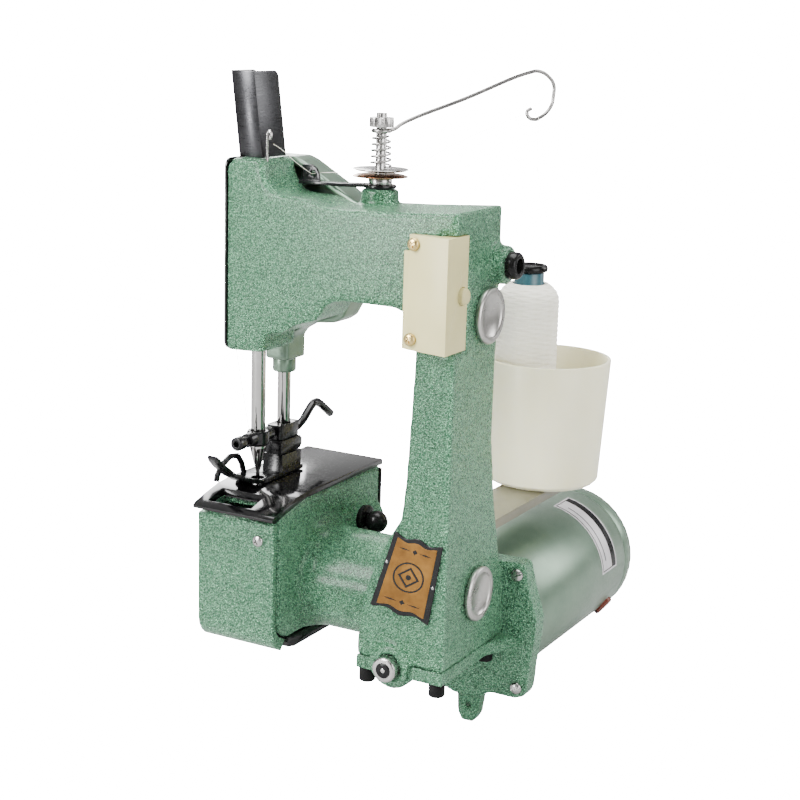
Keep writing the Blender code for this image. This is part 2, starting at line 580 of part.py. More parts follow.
def belt_outline(extra):
    """(Y, Z) loop round both pulleys and over the idler on its rear run."""
    radius = PULLEY_RADIUS + GAP + extra
    lean = math.degrees(math.atan2(-UPPER_SHAFT_Y, UPPER_SHAFT_Z - LOWER_SHAFT_Z))
    outline = arc(0.0, LOWER_SHAFT_Z, radius, 180 + lean, 362, 10)
    outline += arc(IDLER_Y, CAP_Z, IDLER_RADIUS + GAP + extra, 2, 24, 3)
    return outline + arc(UPPER_SHAFT_Y, UPPER_SHAFT_Z, radius, 15, 180 + lean, 9)


def timing_belt():
    """Closed loop that doesn't move with its pulleys."""
    belt = prism("timing_belt", "YZ", belt_outline(BELT_THICKNESS), -5.6, 1.1, [belt_outline(0.0)])
    return paint(belt, "rubber")


def belt_idler():
    idler = rod("belt_idler", "X", (IDLER_Y, CAP_Z), -6.0, 1.6, IDLER_RADIUS, 20)
    cut(idler, rod("idler_bore", "X", (IDLER_Y, CAP_Z), -8.0, 4.0, 2.4, 14))
    set_origin(idler, 0.0, IDLER_Y, CAP_Z)
    return paint(idler, "steel")


def end_cap(name, z):
    face = COLUMN_RIGHT_X + GAP
    cap = turned(name, "X", (0.0, z), [(9.0, 8.1), (face, 8.1), (face + 0.05, 12.6), (face + 0.6, 13.2),
                                       (face + 2.0, 13.2), (face + 2.8, 12.5)], 28)
    dish = [(face + 1.3, 8.8), (face + 2.3, 10.4), (face + 4.0, 10.4)]
    cut(cap, turned(name + "_dish", "X", (0.0, z), dish, 24))
    return cap


def shaft_end_caps():
    """Two bright dished discs; the upper one carries the idler's stud."""
    upper = end_cap("upper_end_cap", CAP_Z)
    join(upper, rod("idler_stud", "X", (IDLER_Y, CAP_Z), -6.8, 9.5, 2.0, 12))
    paint(upper, "chrome")
    paint(end_cap("lower_end_cap", LOWER_SHAFT_Z), "chrome")


def upper_shaft():
    """Upper shaft with its crank disc."""
    profile = [(-93.3, 14.0), (-90.9, 14.0), (-90.8, 4.0), (9.2, 4.0)]
    shaft = turned("upper_shaft", "X", (UPPER_SHAFT_Y, UPPER_SHAFT_Z), profile, 16)
    join(shaft, pulley("upper_pulley", UPPER_SHAFT_Y, UPPER_SHAFT_Z))
    set_origin(shaft, 0.0, UPPER_SHAFT_Y, UPPER_SHAFT_Z)
    return paint(shaft, "steel")


# ---------------------------------------------------------------- needle bar and take-up
def crank_pin():
    return (UPPER_SHAFT_Y + CRANK_RADIUS * math.cos(CRANK_ANGLE),
            UPPER_SHAFT_Z + CRANK_RADIUS * math.sin(CRANK_ANGLE))


def stud_height():
    """Height of the needle bar's stud that the crank pin and rod length give."""
    pin_y, pin_z = crank_pin()
    return pin_z - math.sqrt(ROD_LENGTH ** 2 - (pin_y - NEEDLE_Y) ** 2)


def connecting_rod():
    pin_y, pin_z = crank_pin()
    stud_z = stud_height()
    lean = math.degrees(math.atan2(pin_z - stud_z, pin_y - NEEDLE_Y))
    outline = arc(pin_y, pin_z, 3.9, lean - 70, lean + 70, 6)
    outline += arc(NEEDLE_Y, stud_z, 3.9, lean + 110, lean + 250, 6)
    hole = circle(NEEDLE_Y, stud_z, 2.3, 14)
    link = prism("connecting_rod", "YZ", outline, -95.6, -94.0, [hole])
    join(link, rod("crank_pin", "X", (pin_y, pin_z), -95.0, -93.6, 2.0, 12))
    set_origin(link, 0.0, NEEDLE_Y, stud_z)
    return paint(link, "steel")


def needle_bar():
    """Needle bar with the driving block and stud pinned on it."""
    z = stud_height()
    bar = turned("needle_bar", "Z", (NEEDLE_X, NEEDLE_Y), [(-7.2, 3.5), (129.0, 3.5), (130.0, 2.6)], 20)
    join(bar, box("driving_block", (-105.4, -96.0), (-23.0, -12.6), (z - 4.6, z + 4.6)))
    join(bar, rod("rod_stud", "X", (NEEDLE_Y, z), -97.0, -93.4, 2.0, 12))
    return paint(bar, "chrome")


def take_up_arm():
    """Arm clamped on the needle bar, with the upright take-up rod and its thread hook."""
    arm = prism("take_up_arm", "XY", [(-104.6, -23.2), (-97.0, -24.4), (-91.0, -26.0), (-90.9, -21.8),
                                      (-95.4, -18.0), (-95.4, -13.2), (-104.6, -13.2)], 114.1, 117.1)
    cut(arm, rod("take_up_bore_ring", "Z", (NEEDLE_X, NEEDLE_Y), 112.0, 120.0, 3.8, 20))
    route = [(-92.4, -23.8, 115.7), (-92.4, -23.8, 142.6), (-91.9, -23.8, 143.8), (-90.9, -23.9, 144.2),
             (-90.2, -23.9, 143.2), (-90.3, -23.9, 141.6), (-90.8, -23.9, 140.4)]
    join(arm, tube("take_up_rod", route, 0.75))
    return paint(arm, "steel")


def needle_guard():
    """Sheet channel, open to the rear, that leans towards the end cover as it rises."""
    outline = [(-106.3, -5.6), (-106.3, -25.8), (-93.7, -25.8), (-93.7, -5.6), (-94.7, -5.6),
               (-94.7, -24.8), (-105.3, -24.8), (-105.3, -5.6)]
    guard = prism("needle_guard", "XY", outline, HEAD_TOP_Z + GAP, 171.0)
    halfway_up = 150.0 * MM
    for vertex in guard.data.vertices:
        if vertex.co.z > halfway_up:
            vertex.co.x -= 5.0 * MM
    waste = [(-8.6, 172.0), *arc(-8.6, 168.0, 3.0, 90, 0, 4), (-5.6, 160.0), (-2.0, 160.0), (-2.0, 172.0)]
    cut(guard, prism("guard_corner", "YZ", waste, -120.0, -80.0))
    return paint(guard, "grey_sheet")


def needle_clamp():
    profile = [(-7.0, 5.0), (-6.4, 5.5), (-0.8, 5.5), (-0.2, 5.0)]
    clamp = turned("needle_clamp", "Z", (NEEDLE_X, NEEDLE_Y), profile, 20)
    join(clamp, rod("clamp_barrel", "Y", (NEEDLE_X, -3.5), -27.4, -8.2, 3.5, 16))
    cut(clamp, rod("clamp_bore", "Z", (NEEDLE_X, NEEDLE_Y), -12.0, 5.0, 3.8, 20))
    return paint(clamp, "black_steel")


def clamp_screw():
    profile = [(-36.4, 3.0), (-36.0, 3.4), (-31.6, 3.4), (-31.4, 2.2), (-27.7, 2.2)]
    screw = turned("clamp_screw", "Y", (NEEDLE_X, -3.5), profile, 20)
    cut(screw, turned("hex_socket", "Y", (NEEDLE_X, -3.5), [(-40.0, 1.7), (-33.8, 1.7)], 6))
    return paint(screw, "black_steel")


def needle():
    """Tapered needle holder and needle, one piece held in the bar's end."""
    profile = [(-26.4, 0.25), (-24.4, 0.9), (-20.4, 1.0), (-18.0, 1.7), (-9.0, 4.0), (-7.6, 4.3)]
    return paint(turned("needle", "Z", (NEEDLE_X, NEEDLE_Y), profile, 20), "chrome")


def stitch_thread():
    """Thread between the take-up hole in the head and the needle clamp; it travels with the bar."""
    route = [(-107.3, -26.6, 44.0), (-106.6, -26.6, 38.0), (-103.0, -26.4, 19.0), (-100.6, -26.2, 6.0),
             (-99.8, -25.4, 0.6)]
    return paint(tube("stitch_thread", smooth_route(route, 4), 0.3), "yarn_white")


# ---------------------------------------------------------------- presser
def presser_bushing():
    profile = [(25.5, 5.3), (26.2, 5.8), (32.0, 5.8), (32.05, 4.4), (49.0, 4.4)]
    bush = turned("presser_bushing", "Z", (NEEDLE_X, PRESSER_Y), profile, 20)
    cut(bush, rod("bushing_bore", "Z", (NEEDLE_X, PRESSER_Y), 20.0, 60.0, 3.6, 16))
    return paint(bush, "green_smooth")


def presser_bar():
    profile = [(-7.9, 3.3), (52.0, 3.3), (52.1, 4.3), (55.0, 4.3), (55.1, 3.3), (108.0, 3.3), (108.8, 2.6)]
    return paint(turned("presser_bar", "Z", (NEEDLE_X, PRESSER_Y), profile, 20), "chrome")


def presser_spring():
    return paint(coil("presser_spring", (NEEDLE_X, PRESSER_Y), 4.15, 0.4, 56.0, 94.4, 7, 8), "steel")


def presser_collar():
    """Collar on the presser bar with the bent lifting lever."""
    collar = prism("presser_collar", "XY", rounded((-104.4, -95.6), (-4.4, 12.6), 1.5, 2), -7.8, -0.6)
    route = [(-98.5, 11.0, -5.0), (-97.6, 14.0, -4.4), (-97.0, 18.5, -1.6), (-97.0, 24.5, 3.2),
             (-97.0, 27.5, 5.0), (-97.0, 31.0, 5.0), (-97.0, 34.5, 3.2), (-97.0, 44.3, -3.6)]
    join(collar, tube("lifting_lever", route, 2.1, 3))
    cut(collar, rod("collar_bore", "Z", (NEEDLE_X, PRESSER_Y), -12.0, 5.0, 3.6, 20))
    return paint(collar, "black_steel")


def presser_foot():
    """Chamfered yoke, shank block and sole with the upturned toe and side bow."""
    foot = box("presser_foot", (-106.0, -94.4), (-4.6, 12.4), (-25.0, -15.2))
    yoke = [(-5.0, -14.8), (-5.0, -9.4), (-4.0, -8.2), (12.4, -8.2), (14.2, -9.8), (14.2, -13.0),
            (12.4, -14.8)]
    join(foot, prism("yoke", "YZ", yoke, -105.2, -95.0))
    join(foot, box("yoke_neck", (-103.0, -97.0), (-1.0, 10.0), (-16.0, -14.0)))
    sole_low = TABLE_Z + GAP
    toe = [(14.5, sole_low + 0.4), (12.5, sole_low), (-21.0, sole_low), (-30.0, -23.4), (-38.0, -19.3),
           (-46.0, -13.4), (-52.0, -8.0), (-52.6, -7.0), (-51.4, -6.2), (-45.4, -11.6), (-37.4, -17.5),
           (-29.4, -21.5), (-21.0, sole_low + 1.9), (14.5, sole_low + 1.9)]
    sole = prism("sole", "YZ", toe, -112.0, -94.4)
    outline = [(-94.4, 14.5), (-112.0, 14.5), (-112.0, -18.0), (-110.4, -23.0), (-107.4, -25.0),
               (-106.6, -30.0),
               (-106.2, -50.0), (-105.0, -53.0), (-101.4, -53.0), (-100.0, -50.0), (-98.6, -30.0),
               (-95.4, -22.0),
               (-94.4, -18.0)]
    keep_common(sole, prism("sole_outline", "XY", outline, -40.0, 0.0))
    join(foot, sole)
    bow = [(-110.4, -14.5, -24.6), (-110.4, -16.5, -18.5), (-110.2, -20.5, -14.0), (-110.0, -27.0, -13.0),
           (-110.0, -33.0, -15.5), (-110.0, -37.5, -19.8), (-110.0, -38.5, -23.0)]
    join(foot, tube("side_bow", bow, 1.5, 2))
    cut(foot, rod("needle_slot", "Z", (NEEDLE_X, NEEDLE_Y), -30.0, -18.0, 3.3, 16))
    return paint(foot, "black_steel")


# ---------------------------------------------------------------- looper and feed
def feed_dog():
    dog = box("feed_dog", (-105.0, -95.0), (-5.6, 8.6), (-36.0, -33.4))
    for i, x in enumerate((-104.0, -96.0)):
        join(dog, box("tooth_bar_%d" % i, (x - 1.0, x + 1.0), (-5.6, 8.6), (-34.0, -27.6)))
        for k in range(5):
            y = -4.6 + 2.9 * k
            outline = [(y, -28.0), (y + 2.0, -28.0), (y, -26.4)]
            join(dog, prism("tooth_%d_%d" % (i, k), "YZ", outline, x - 1.0, x + 1.0))
    join(dog, box("feed_bar", (-101.5, -98.5), (-5.0, 44.0), (-39.0, -35.5)))
    return paint(dog, "steel")


def looper():
    """Looper arm on its rocker shaft, with the hook that passes the needle."""
    hook = [(3.0, -44.0), (9.0, -44.0), (7.6, -42.0), (-9.0, -39.4), (-12.6, -40.4), (-9.0, -41.2),
            (2.0, -42.8)]
    arm = prism("looper", "YZ", hook, -97.0, -95.0)
    stem = [(3.0, -43.0), (9.0, -43.0), (20.0, -66.0), (14.0, -66.0)]
    join(arm, prism("looper_stem", "YZ", stem, -97.0, -94.0))
    join(arm, rod("rocker", "X", (17.0, -66.0), -109.0, -79.0, 4.5, 16))
    set_origin(arm, 0.0, 17.0, -66.0)
    return paint(arm, "chrome")


def latch_knob():
    """Sprung pull knob with a ball end."""
    centre = -58.9
    ball = 5.8
    profile = [(-74.0, 2.0), (centre - ball * 0.94, 2.0)]
    for i in range(1, 8):
        angle = math.pi * (0.12 + 0.84 * i / 7)
        profile.append((centre - ball * math.cos(angle), ball * math.sin(angle)))
    return paint(turned("latch_knob", "X", LATCH, profile, 18), "black_plastic")


# ---------------------------------------------------------------- thread path
def tension_post():
    """Slotted stud with its black seat collar."""
    post = turned("tension_post", "Z", (POST_X, 0.0), [(121.6, 5.5), (124.0, 5.5), (124.1, 2.5),
                                                       (154.0, 2.5)], 20)
    cut(post, box("post_slot", (POST_X - 0.5, POST_X + 0.5), (-5.0, 5.0), (140.0, 156.0)))
    return paint(post, "steel")


def tension_discs():
    """Two dished discs, rims outwards, that pinch the thread."""
    dish = [(124.9, 12.8), (125.2, 13.0), (125.9, 11.0), (126.2, 5.0)]
    lower = turned("tension_disc_lower", "Z", (POST_X, 0.0), dish, 28)
    cut(lower, rod("lower_disc_bore", "Z", (POST_X, 0.0), 110.0, 140.0, 2.9, 16))
    dish = [(127.4, 5.0), (127.7, 11.0), (128.4, 13.0), (128.7, 12.8)]
    upper = turned("tension_disc_upper", "Z", (POST_X, 0.0), dish, 28)
    cut(upper, rod("upper_disc_bore", "Z", (POST_X, 0.0), 110.0, 140.0, 2.9, 16))
    paint(lower, "copper")
    paint(upper, "steel")


def tension_spring():
    return paint(coil("tension_spring", (POST_X, 0.0), 4.6, 0.5, 129.7, 143.6, 5), "steel")


def tension_nut():
    """Knurled thumb nut."""
    ribs = 20
    outline = []
    for i in range(ribs):
        angle = 2.0 * math.pi * i / ribs
        outline.append((POST_X + 5.7 * math.cos(angle), 5.7 * math.sin(angle)))
        angle += math.pi / ribs
        outline.append((POST_X + 5.2 * math.cos(angle), 5.2 * math.sin(angle)))
    nut = prism("tension_nut", "XY", outline, 147.6, 152.0, [circle(POST_X, 0.0, 2.8, 16)])
    set_origin(nut, POST_X, 0.0, 150.0)
    return paint(nut, "steel")


def thread_hook():
    """Long wire guide: a loop round the post, an arm over the cone and an eye."""
    loop = [(x, y, 145.9) for x, y in arc(POST_X, 0.0, 3.9, 200, 440, 8)]
    arm = [(-43.4, 7.6, 146.3), (-41.4, 12.0, 148.8), (-28.0, 48.6, 159.7), (-14.0, 90.6, 171.9),
           (-12.0, 97.0, 172.4), (-9.6, 104.0, 169.6), (-8.2, 107.3, 165.6), (-8.2, 107.4, 160.0),
           (-8.4, 106.5, 156.2),
           (-9.4, 103.6, 152.6), (-11.0, 99.0, 149.9), (-12.4, 94.8, 148.9), (-14.2, 91.6, 150.2),
           (-15.0, 91.6, 152.6),
           (-14.0, 94.0, 154.2)]
    return paint(tube("thread_hook", [*loop, *arm], 1.0), "steel")


def guide_strip():
    """Flat strip from under the tension collar, with the upright thread lug at its end."""
    outline = arc(POST_X, 0.0, 7.6, -140, 140, 12) + [(-66.0, -4.4), (-83.4, -4.6), (-83.4, -11.0),
                                                      (-62.0, -9.6)]
    strip = prism("guide_strip", "XY", outline, 119.8, 121.3)
    lug = [(-82.6, 120.8), (-73.2, 120.8), (-73.4, 124.4), (-75.0, 127.4), (-77.6, 128.8), (-82.6, 128.8)]
    join(strip, prism("guide_lug", "XZ", lug, -8.6, -7.4, [circle(-76.9, 124.6, 1.4, 12)]))
    return paint(strip, "black_steel")


def thread():
    """Thread from the cone by way of hook, discs, guide hole and take-up arm to the head."""
    route = [(CONE_X + 16.9, CONE_Y, 44.0), (CONE_X + 15.6, CONE_Y - 3.0, 78.0), (-10.0, 96.6, 122.0),
             (-9.6, 94.6, 145.0), (-10.2, 94.6, 150.6), (-12.4, 95.6, 151.9), (-15.8, 96.8, 151.6),
             (-18.6, 90.0, 150.4), (-30.0, 45.0, 138.8), (-36.4, 18.6, 129.4), (-38.4, 10.4, 126.9),
             (-41.0, 2.4, 126.8), (-43.6, -4.8, 126.8), (-50.0, -6.4, 126.7), (-62.0, -5.2, 125.9),
             (-72.0, -4.7, 125.2), (-76.4, -5.7, 124.7), (-76.9, -8.0, 124.6), (-77.4, -10.4, 125.2),
             (-81.5, -15.0, 129.5), (-86.6, -20.8, 136.0), (-88.9, -24.2, 138.4)]
    return paint(tube("thread", smooth_route(route, 3), 0.3, 0), "yarn_white")


def cup_bracket():
    """Sheet channel that carries the cup, with its leg on the column's rear face."""
    top = CUP_FLOOR_Z - GAP
    arm = box("cup_bracket", (-17.0, 8.0), (24.0, 137.0), (top - 1.6, top))
    for i, x in enumerate((-17.0, 6.4)):
        join(arm, box("bracket_flange_%d" % i, (x, x + 1.6), (24.0, 137.0), (top - 5.0, top)))
    leg = [(11.9, 6.0), (13.9, 6.0), (19.3, -25.6), (24.6, -38.3), (26.0, -39.9), (21.2, -39.9),
           (17.3, -25.6)]
    join(arm, prism("bracket_leg", "YZ", leg, -7.6, 8.0))
    return paint(arm, "clear_plastic")


def thread_cup():
    low = CUP_FLOOR_Z
    profile = [(low, 27.6), (low + 2.0, 29.6), (27.4, 33.3)]
    cup = turned("thread_cup", "Z", (CUP_X, CUP_Y), profile, 36)
    cut(cup, turned("cup_inside", "Z", (CUP_X, CUP_Y), [(low + 1.6, 26.4), (low + 3.4, 28.2),
                                                        (30.0, 31.9)], 36))
    return paint(cup, "clear_plastic")


def yarn_cone():
    low = CUP_FLOOR_Z + 2.0
    profile = [(low, 15.0), (low + 1.5, 16.5), (60.0, 16.3), (63.4, 15.2), (65.6, 12.6), (65.2, 8.6)]
    yarn = turned("yarn_cone", "Z", (CONE_X, CONE_Y), profile, 28)
    cut(yarn, rod("yarn_bore", "Z", (CONE_X, CONE_Y), low - 2, 70.0, 8.2, 24))
    paint(yarn, "yarn_white")
    core = turned("cone_tube", "Z", (CONE_X, CONE_Y), [(low, 7.9), (71.0, 7.6)], 28)
    cut(core, rod("core_bore", "Z", (CONE_X, CONE_Y), low - 2, 75.0, 6.4, 24))
    paint(core, "teal_plastic")
    profile = [(71.3, 8.0), (71.8, 9.2), (73.6, 9.4), (75.0, 8.6)]
    cap = turned("cone_cap", "Z", (CONE_X, CONE_Y), profile, 28)
    cut(cap, rod("cap_dish", "Z", (CONE_X, CONE_Y), 74.0, 77.0, 7.2, 24))
    paint(cap, "black_plastic")


# ---------------------------------------------------------------- switch, plates and fasteners
def switch_box():
    """Wedge-fronted cream switch housing in the column's corner."""
    outline = [(12.0, -40.5), (12.0, -20.8), (4.7, -20.8), (4.7, FRONT_Y - GAP), (-13.0, FRONT_Y - GAP),
               (-13.0, -34.2), (-9.0, -36.0)]
    housing = prism("switch_box", "XY", outline, 53.7, 105.0)
    cut(housing, box("screw_notch", (-15.0, -9.6), (-45.0, -30.0), (97.5, 106.0)))
    cut(housing, rod("button_bore", "X", (-25.6, 78.5), 6.5, 15.0, 4.2, 20))
    return paint(housing, "cream_plastic")


def switch_button():
    button = turned("switch_button", "X", (-25.6, 78.5), [(8.0, 3.8), (13.6, 3.8), (14.4, 3.2)], 24)
    return paint(button, "cream_plastic")


def panel_screws():
    """Identical pan-head screws of the switch box and the looper cover."""
    places = {"switch_screw_upper": ((-6.7, 101.0), -37.1), "switch_screw_lower": ((-7.2, 58.7), -37.0),
              "looper_cover_screw": ((-81.0, -45.7), BOX_FRONT_Y - 3.5)}
    for name, (centre, seat) in places.items():
        head = [(seat - 2.0, 2.0), (seat - 1.4, 2.9), (seat - GAP, 2.9)]
        paint(turned(name, "Y", centre, head, 16), "steel")


def cable_gland():
    """Black gland in the side boss; its cord is not part of the machine here."""
    gland = turned("cable_gland", "X", (8.0, 89.0), [(18.8, 6.4), (22.6, 6.2), (23.6, 5.4)], 24)
    cut(gland, rod("gland_bore", "X", (8.0, 89.0), 20.0, 25.0, 3.6, 16))
    return paint(gland, "black_plastic")


def nameplate():
    outline = [(-14.2, -32.0), (10.8, -35.3), (4.5, -73.9), (-26.4, -70.1)]
    return paint(prism("nameplate", "XZ", outline, FRONT_Y - 1.0, FRONT_Y - GAP), "brass")


def build():
    clear_scene()
    for make in (body_casting, head_rear_cover, head_end_cover, looper_housing, looper_front_cover,
                 looper_bottom_cover, throat_plate, base_plate, hub_sleeve, rubber_feet,
                 motor_bracket, motor_shell, motor_end_cap, motor_rotor,
                 worm_wheel, lower_shaft, timing_belt, belt_idler, shaft_end_caps, upper_shaft,
                 connecting_rod, needle_bar, take_up_arm, needle_guard, needle_clamp, clamp_screw,
                 needle, stitch_thread, presser_bushing, presser_bar, presser_spring, presser_collar,
                 presser_foot,
                 feed_dog, looper, latch_knob, tension_post, tension_discs, tension_spring,
                 tension_nut, thread_hook, guide_strip, thread, cup_bracket, thread_cup, yarn_cone,
                 switch_box, switch_button, panel_screws, cable_gland, nameplate):
        make()


build()
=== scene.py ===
"""Looks of the bag closer sewing machine: finishes, fine details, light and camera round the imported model."""

import json
import math

import bmesh
import bpy
from mathutils import Matrix, Vector

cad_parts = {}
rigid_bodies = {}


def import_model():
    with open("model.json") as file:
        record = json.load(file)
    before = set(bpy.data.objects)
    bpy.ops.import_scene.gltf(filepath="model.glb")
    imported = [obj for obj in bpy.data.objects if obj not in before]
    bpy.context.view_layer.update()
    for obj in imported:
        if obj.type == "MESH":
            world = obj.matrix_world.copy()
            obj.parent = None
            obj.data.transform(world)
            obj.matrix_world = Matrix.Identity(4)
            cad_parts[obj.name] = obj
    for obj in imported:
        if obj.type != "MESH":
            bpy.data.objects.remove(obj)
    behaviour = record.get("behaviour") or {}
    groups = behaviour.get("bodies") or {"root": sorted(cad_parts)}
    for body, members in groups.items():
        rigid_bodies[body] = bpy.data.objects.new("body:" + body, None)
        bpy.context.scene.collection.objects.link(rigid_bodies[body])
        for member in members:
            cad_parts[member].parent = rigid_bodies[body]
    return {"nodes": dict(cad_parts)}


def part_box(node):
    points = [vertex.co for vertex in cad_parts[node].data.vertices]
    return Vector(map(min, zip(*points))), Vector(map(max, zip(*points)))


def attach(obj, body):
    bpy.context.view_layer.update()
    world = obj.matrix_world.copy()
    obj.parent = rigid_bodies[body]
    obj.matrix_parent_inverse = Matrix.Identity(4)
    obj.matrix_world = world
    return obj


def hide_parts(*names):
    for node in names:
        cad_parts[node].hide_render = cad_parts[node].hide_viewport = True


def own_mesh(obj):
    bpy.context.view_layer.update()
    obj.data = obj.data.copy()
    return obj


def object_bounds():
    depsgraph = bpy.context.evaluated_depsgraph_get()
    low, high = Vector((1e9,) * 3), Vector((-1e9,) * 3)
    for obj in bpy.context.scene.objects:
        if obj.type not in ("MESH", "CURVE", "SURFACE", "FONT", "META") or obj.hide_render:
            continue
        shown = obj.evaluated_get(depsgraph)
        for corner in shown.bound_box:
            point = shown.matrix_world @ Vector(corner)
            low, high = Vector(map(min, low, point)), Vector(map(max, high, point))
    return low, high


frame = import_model()
cad_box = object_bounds()

MM = 0.001
NODES = frame["nodes"]

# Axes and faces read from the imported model
SHELL_LOW, SHELL_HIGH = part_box("motor_shell")
MOTOR_X = (SHELL_LOW.x + SHELL_HIGH.x) / 2
MOTOR_Z = (SHELL_LOW.z + SHELL_HIGH.z) / 2
MOTOR_R = (SHELL_HIGH.x - SHELL_LOW.x) / 2
POST_LOW, POST_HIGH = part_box("tension_post")
POST = (POST_LOW + POST_HIGH) / 2
CONE_LOW, CONE_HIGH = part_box("yarn_cone")
CONE = (CONE_LOW + CONE_HIGH) / 2
PLATE_BACK_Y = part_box("nameplate")[1].y

SHARP_ANGLE = math.radians(36.0)  # edges that turn by more are bevelled and stay sharp


# ---------------------------------------------------------------- node helpers
class Tree:
    """Small wrapper that adds and links shader nodes."""

    def __init__(self, name):
        self.material = bpy.data.materials.new(name)
        self.material.use_nodes = True
        self.tree = self.material.node_tree
        self.shader = self.tree.nodes["Principled BSDF"]
        self.place = self.add("ShaderNodeTexCoord").outputs["Object"]

    def add(self, kind, **values):
        node = self.tree.nodes.new(kind)
        for key, value in values.items():
            setattr(node, key, value)
        return node

    def link(self, source, target):
        self.tree.links.new(source, target)

    def stretched(self, scale):
        """Object coordinates with a different scale on each axis."""
        mapping = self.add("ShaderNodeMapping")
        mapping.inputs["Scale"].default_value = scale
        self.link(self.place, mapping.inputs["Vector"])
        return mapping.outputs["Vector"]

    def noise(self, scale, detail=2.0, roughness=0.5, distortion=0.0, vector=None):
        node = self.add("ShaderNodeTexNoise")
        self.link(vector or self.place, node.inputs["Vector"])
        node.inputs["Scale"].default_value = scale
        node.inputs["Detail"].default_value = detail
        node.inputs["Roughness"].default_value = roughness
        node.inputs["Distortion"].default_value = distortion
        return node.outputs["Fac"]

    def cells(self, scale, vector=None, smoothness=0.6):
        node = self.add("ShaderNodeTexVoronoi", feature="SMOOTH_F1")
        self.link(vector or self.place, node.inputs["Vector"])
        node.inputs["Scale"].default_value = scale
        node.inputs["Smoothness"].default_value = smoothness
        return node.outputs["Distance"]

    def ramp(self, factor, stops):
        """stops holds (position, colour or grey)."""
        node = self.add("ShaderNodeValToRGB")
        elements = node.color_ramp.elements
        while len(elements) < len(stops):
            elements.new(0.5)
        for element, (position, value) in zip(elements, stops):
            element.position = position
            colour = value if isinstance(value, tuple) else (value, value, value)
            element.color = (*colour, 1.0)
        self.link(factor, node.inputs["Fac"])
        return node.outputs["Color"]

    def mix(self, factor, first, second, blend="MIX"):
        node = self.add("ShaderNodeMix", data_type="RGBA", blend_type=blend)
        for value, socket in ((factor, node.inputs[0]), (first, node.inputs[6]), (second, node.inputs[7])):
            if isinstance(value, bpy.types.NodeSocket):
                self.link(value, socket)
            elif isinstance(value, tuple):
                socket.default_value = (*value, 1.0)
            else:
                socket.default_value = value
        return node.outputs[2]

    def math(self, operation, first, second):
        node = self.add("ShaderNodeMath", operation=operation)
        for value, socket in ((first, node.inputs[0]), (second, node.inputs[1])):
            if isinstance(value, bpy.types.NodeSocket):
                self.link(value, socket)
            else:
                socket.default_value = value
        return node.outputs[0]

    def bump(self, height, strength, distance, normal=None):
        node = self.add("ShaderNodeBump")
        node.inputs["Strength"].default_value = strength
        node.inputs["Distance"].default_value = distance
        self.link(height, node.inputs["Height"])
        if normal:
            self.link(normal, node.inputs["Normal"])
        return node.outputs["Normal"]

    def done(self, colour=None, roughness=None, normal=None, **sockets):
        if colour:
            self.link(colour, self.shader.inputs["Base Color"])
        if roughness:
            self.link(roughness, self.shader.inputs["Roughness"])
        if normal:
            self.link(normal, self.shader.inputs["Normal"])
        for key, value in sockets.items():
            self.shader.inputs[key.replace("_", " ")].default_value = value
        return self.material


# ---------------------------------------------------------------- materials
def hammertone():
    """Hammered enamel: cells about a millimetre across, with a painted highlight in pale green on each raised
    cell and painted shade in darker green between them.
    """
    t = Tree("hammered_green")
    warp = t.add("ShaderNodeVectorMath", operation="MULTIPLY_ADD")
    wobble = t.add("ShaderNodeTexNoise")
    t.link(t.place, wobble.inputs["Vector"])
    wobble.inputs["Scale"].default_value = 1100.0
    t.link(wobble.outputs["Color"], warp.inputs[0])
    warp.inputs[1].default_value = (0.0011, 0.0011, 0.0011)
    t.link(t.place, warp.inputs[2])
    cell = t.cells(1350.0, warp.outputs[0], 0.3)
    clump = t.noise(430.0, 2.0, 0.6)
    grain = t.noise(2300.0, 1.0)
    height = t.math("ADD", t.math("MULTIPLY", cell, 1.0), t.math("MULTIPLY", clump, 0.5))
    # painted highlight and painted shade: pale green on the raised cell centres, dark green in the hollows
    # between the cells
    colour = t.ramp(cell, [(0.0, (0.40, 0.68, 0.47)), (0.32, (0.19, 0.42, 0.255)),
                           (0.68, (0.050, 0.160, 0.085))])
    tone = t.ramp(clump, [(0.34, 0.90), (0.64, 1.0)])
    colour = t.mix(1.0, colour, tone, "MULTIPLY")
    rough = t.ramp(grain, [(0.3, 0.24), (0.7, 0.34)])
    return t.done(colour, rough, t.bump(height, 1.0, 0.0013), Metallic=0.85, Coat_Weight=0.2,
                  Coat_Roughness=0.2)


def smooth_green():
    """Sprayed grey-green enamel with orange peel and faint cloudiness."""
    t = Tree("sprayed_green")
    cloud = t.noise(35.0, 3.0, 0.6)
    peel = t.noise(700.0, 2.0)
    colour = t.ramp(cloud, [(0.3, (0.13, 0.20, 0.145)), (0.7, (0.17, 0.245, 0.18))])
    rough = t.ramp(peel, [(0.3, 0.30), (0.7, 0.38)])
    return t.done(colour, rough, t.bump(peel, 0.12, 0.0003), Metallic=0.6, Coat_Weight=0.1,
                  Coat_Roughness=0.25)


def gloss_black():
    """Thick black enamel with dust-fine scuffs."""
    t = Tree("gloss_black_enamel")
    scuff = t.noise(160.0, 5.0, 0.7, 1.2)
    wave = t.noise(240.0, 1.0)
    colour = t.ramp(scuff, [(0.45, (0.0012, 0.0012, 0.0014)), (0.8, (0.005, 0.005, 0.005))])
    rough = t.ramp(scuff, [(0.4, 0.09), (0.75, 0.22)])
    return t.done(colour, rough, t.bump(wave, 0.03, 0.0002), Coat_Weight=0.15, Coat_Roughness=0.05,
                  Specular_IOR_Level=0.35)


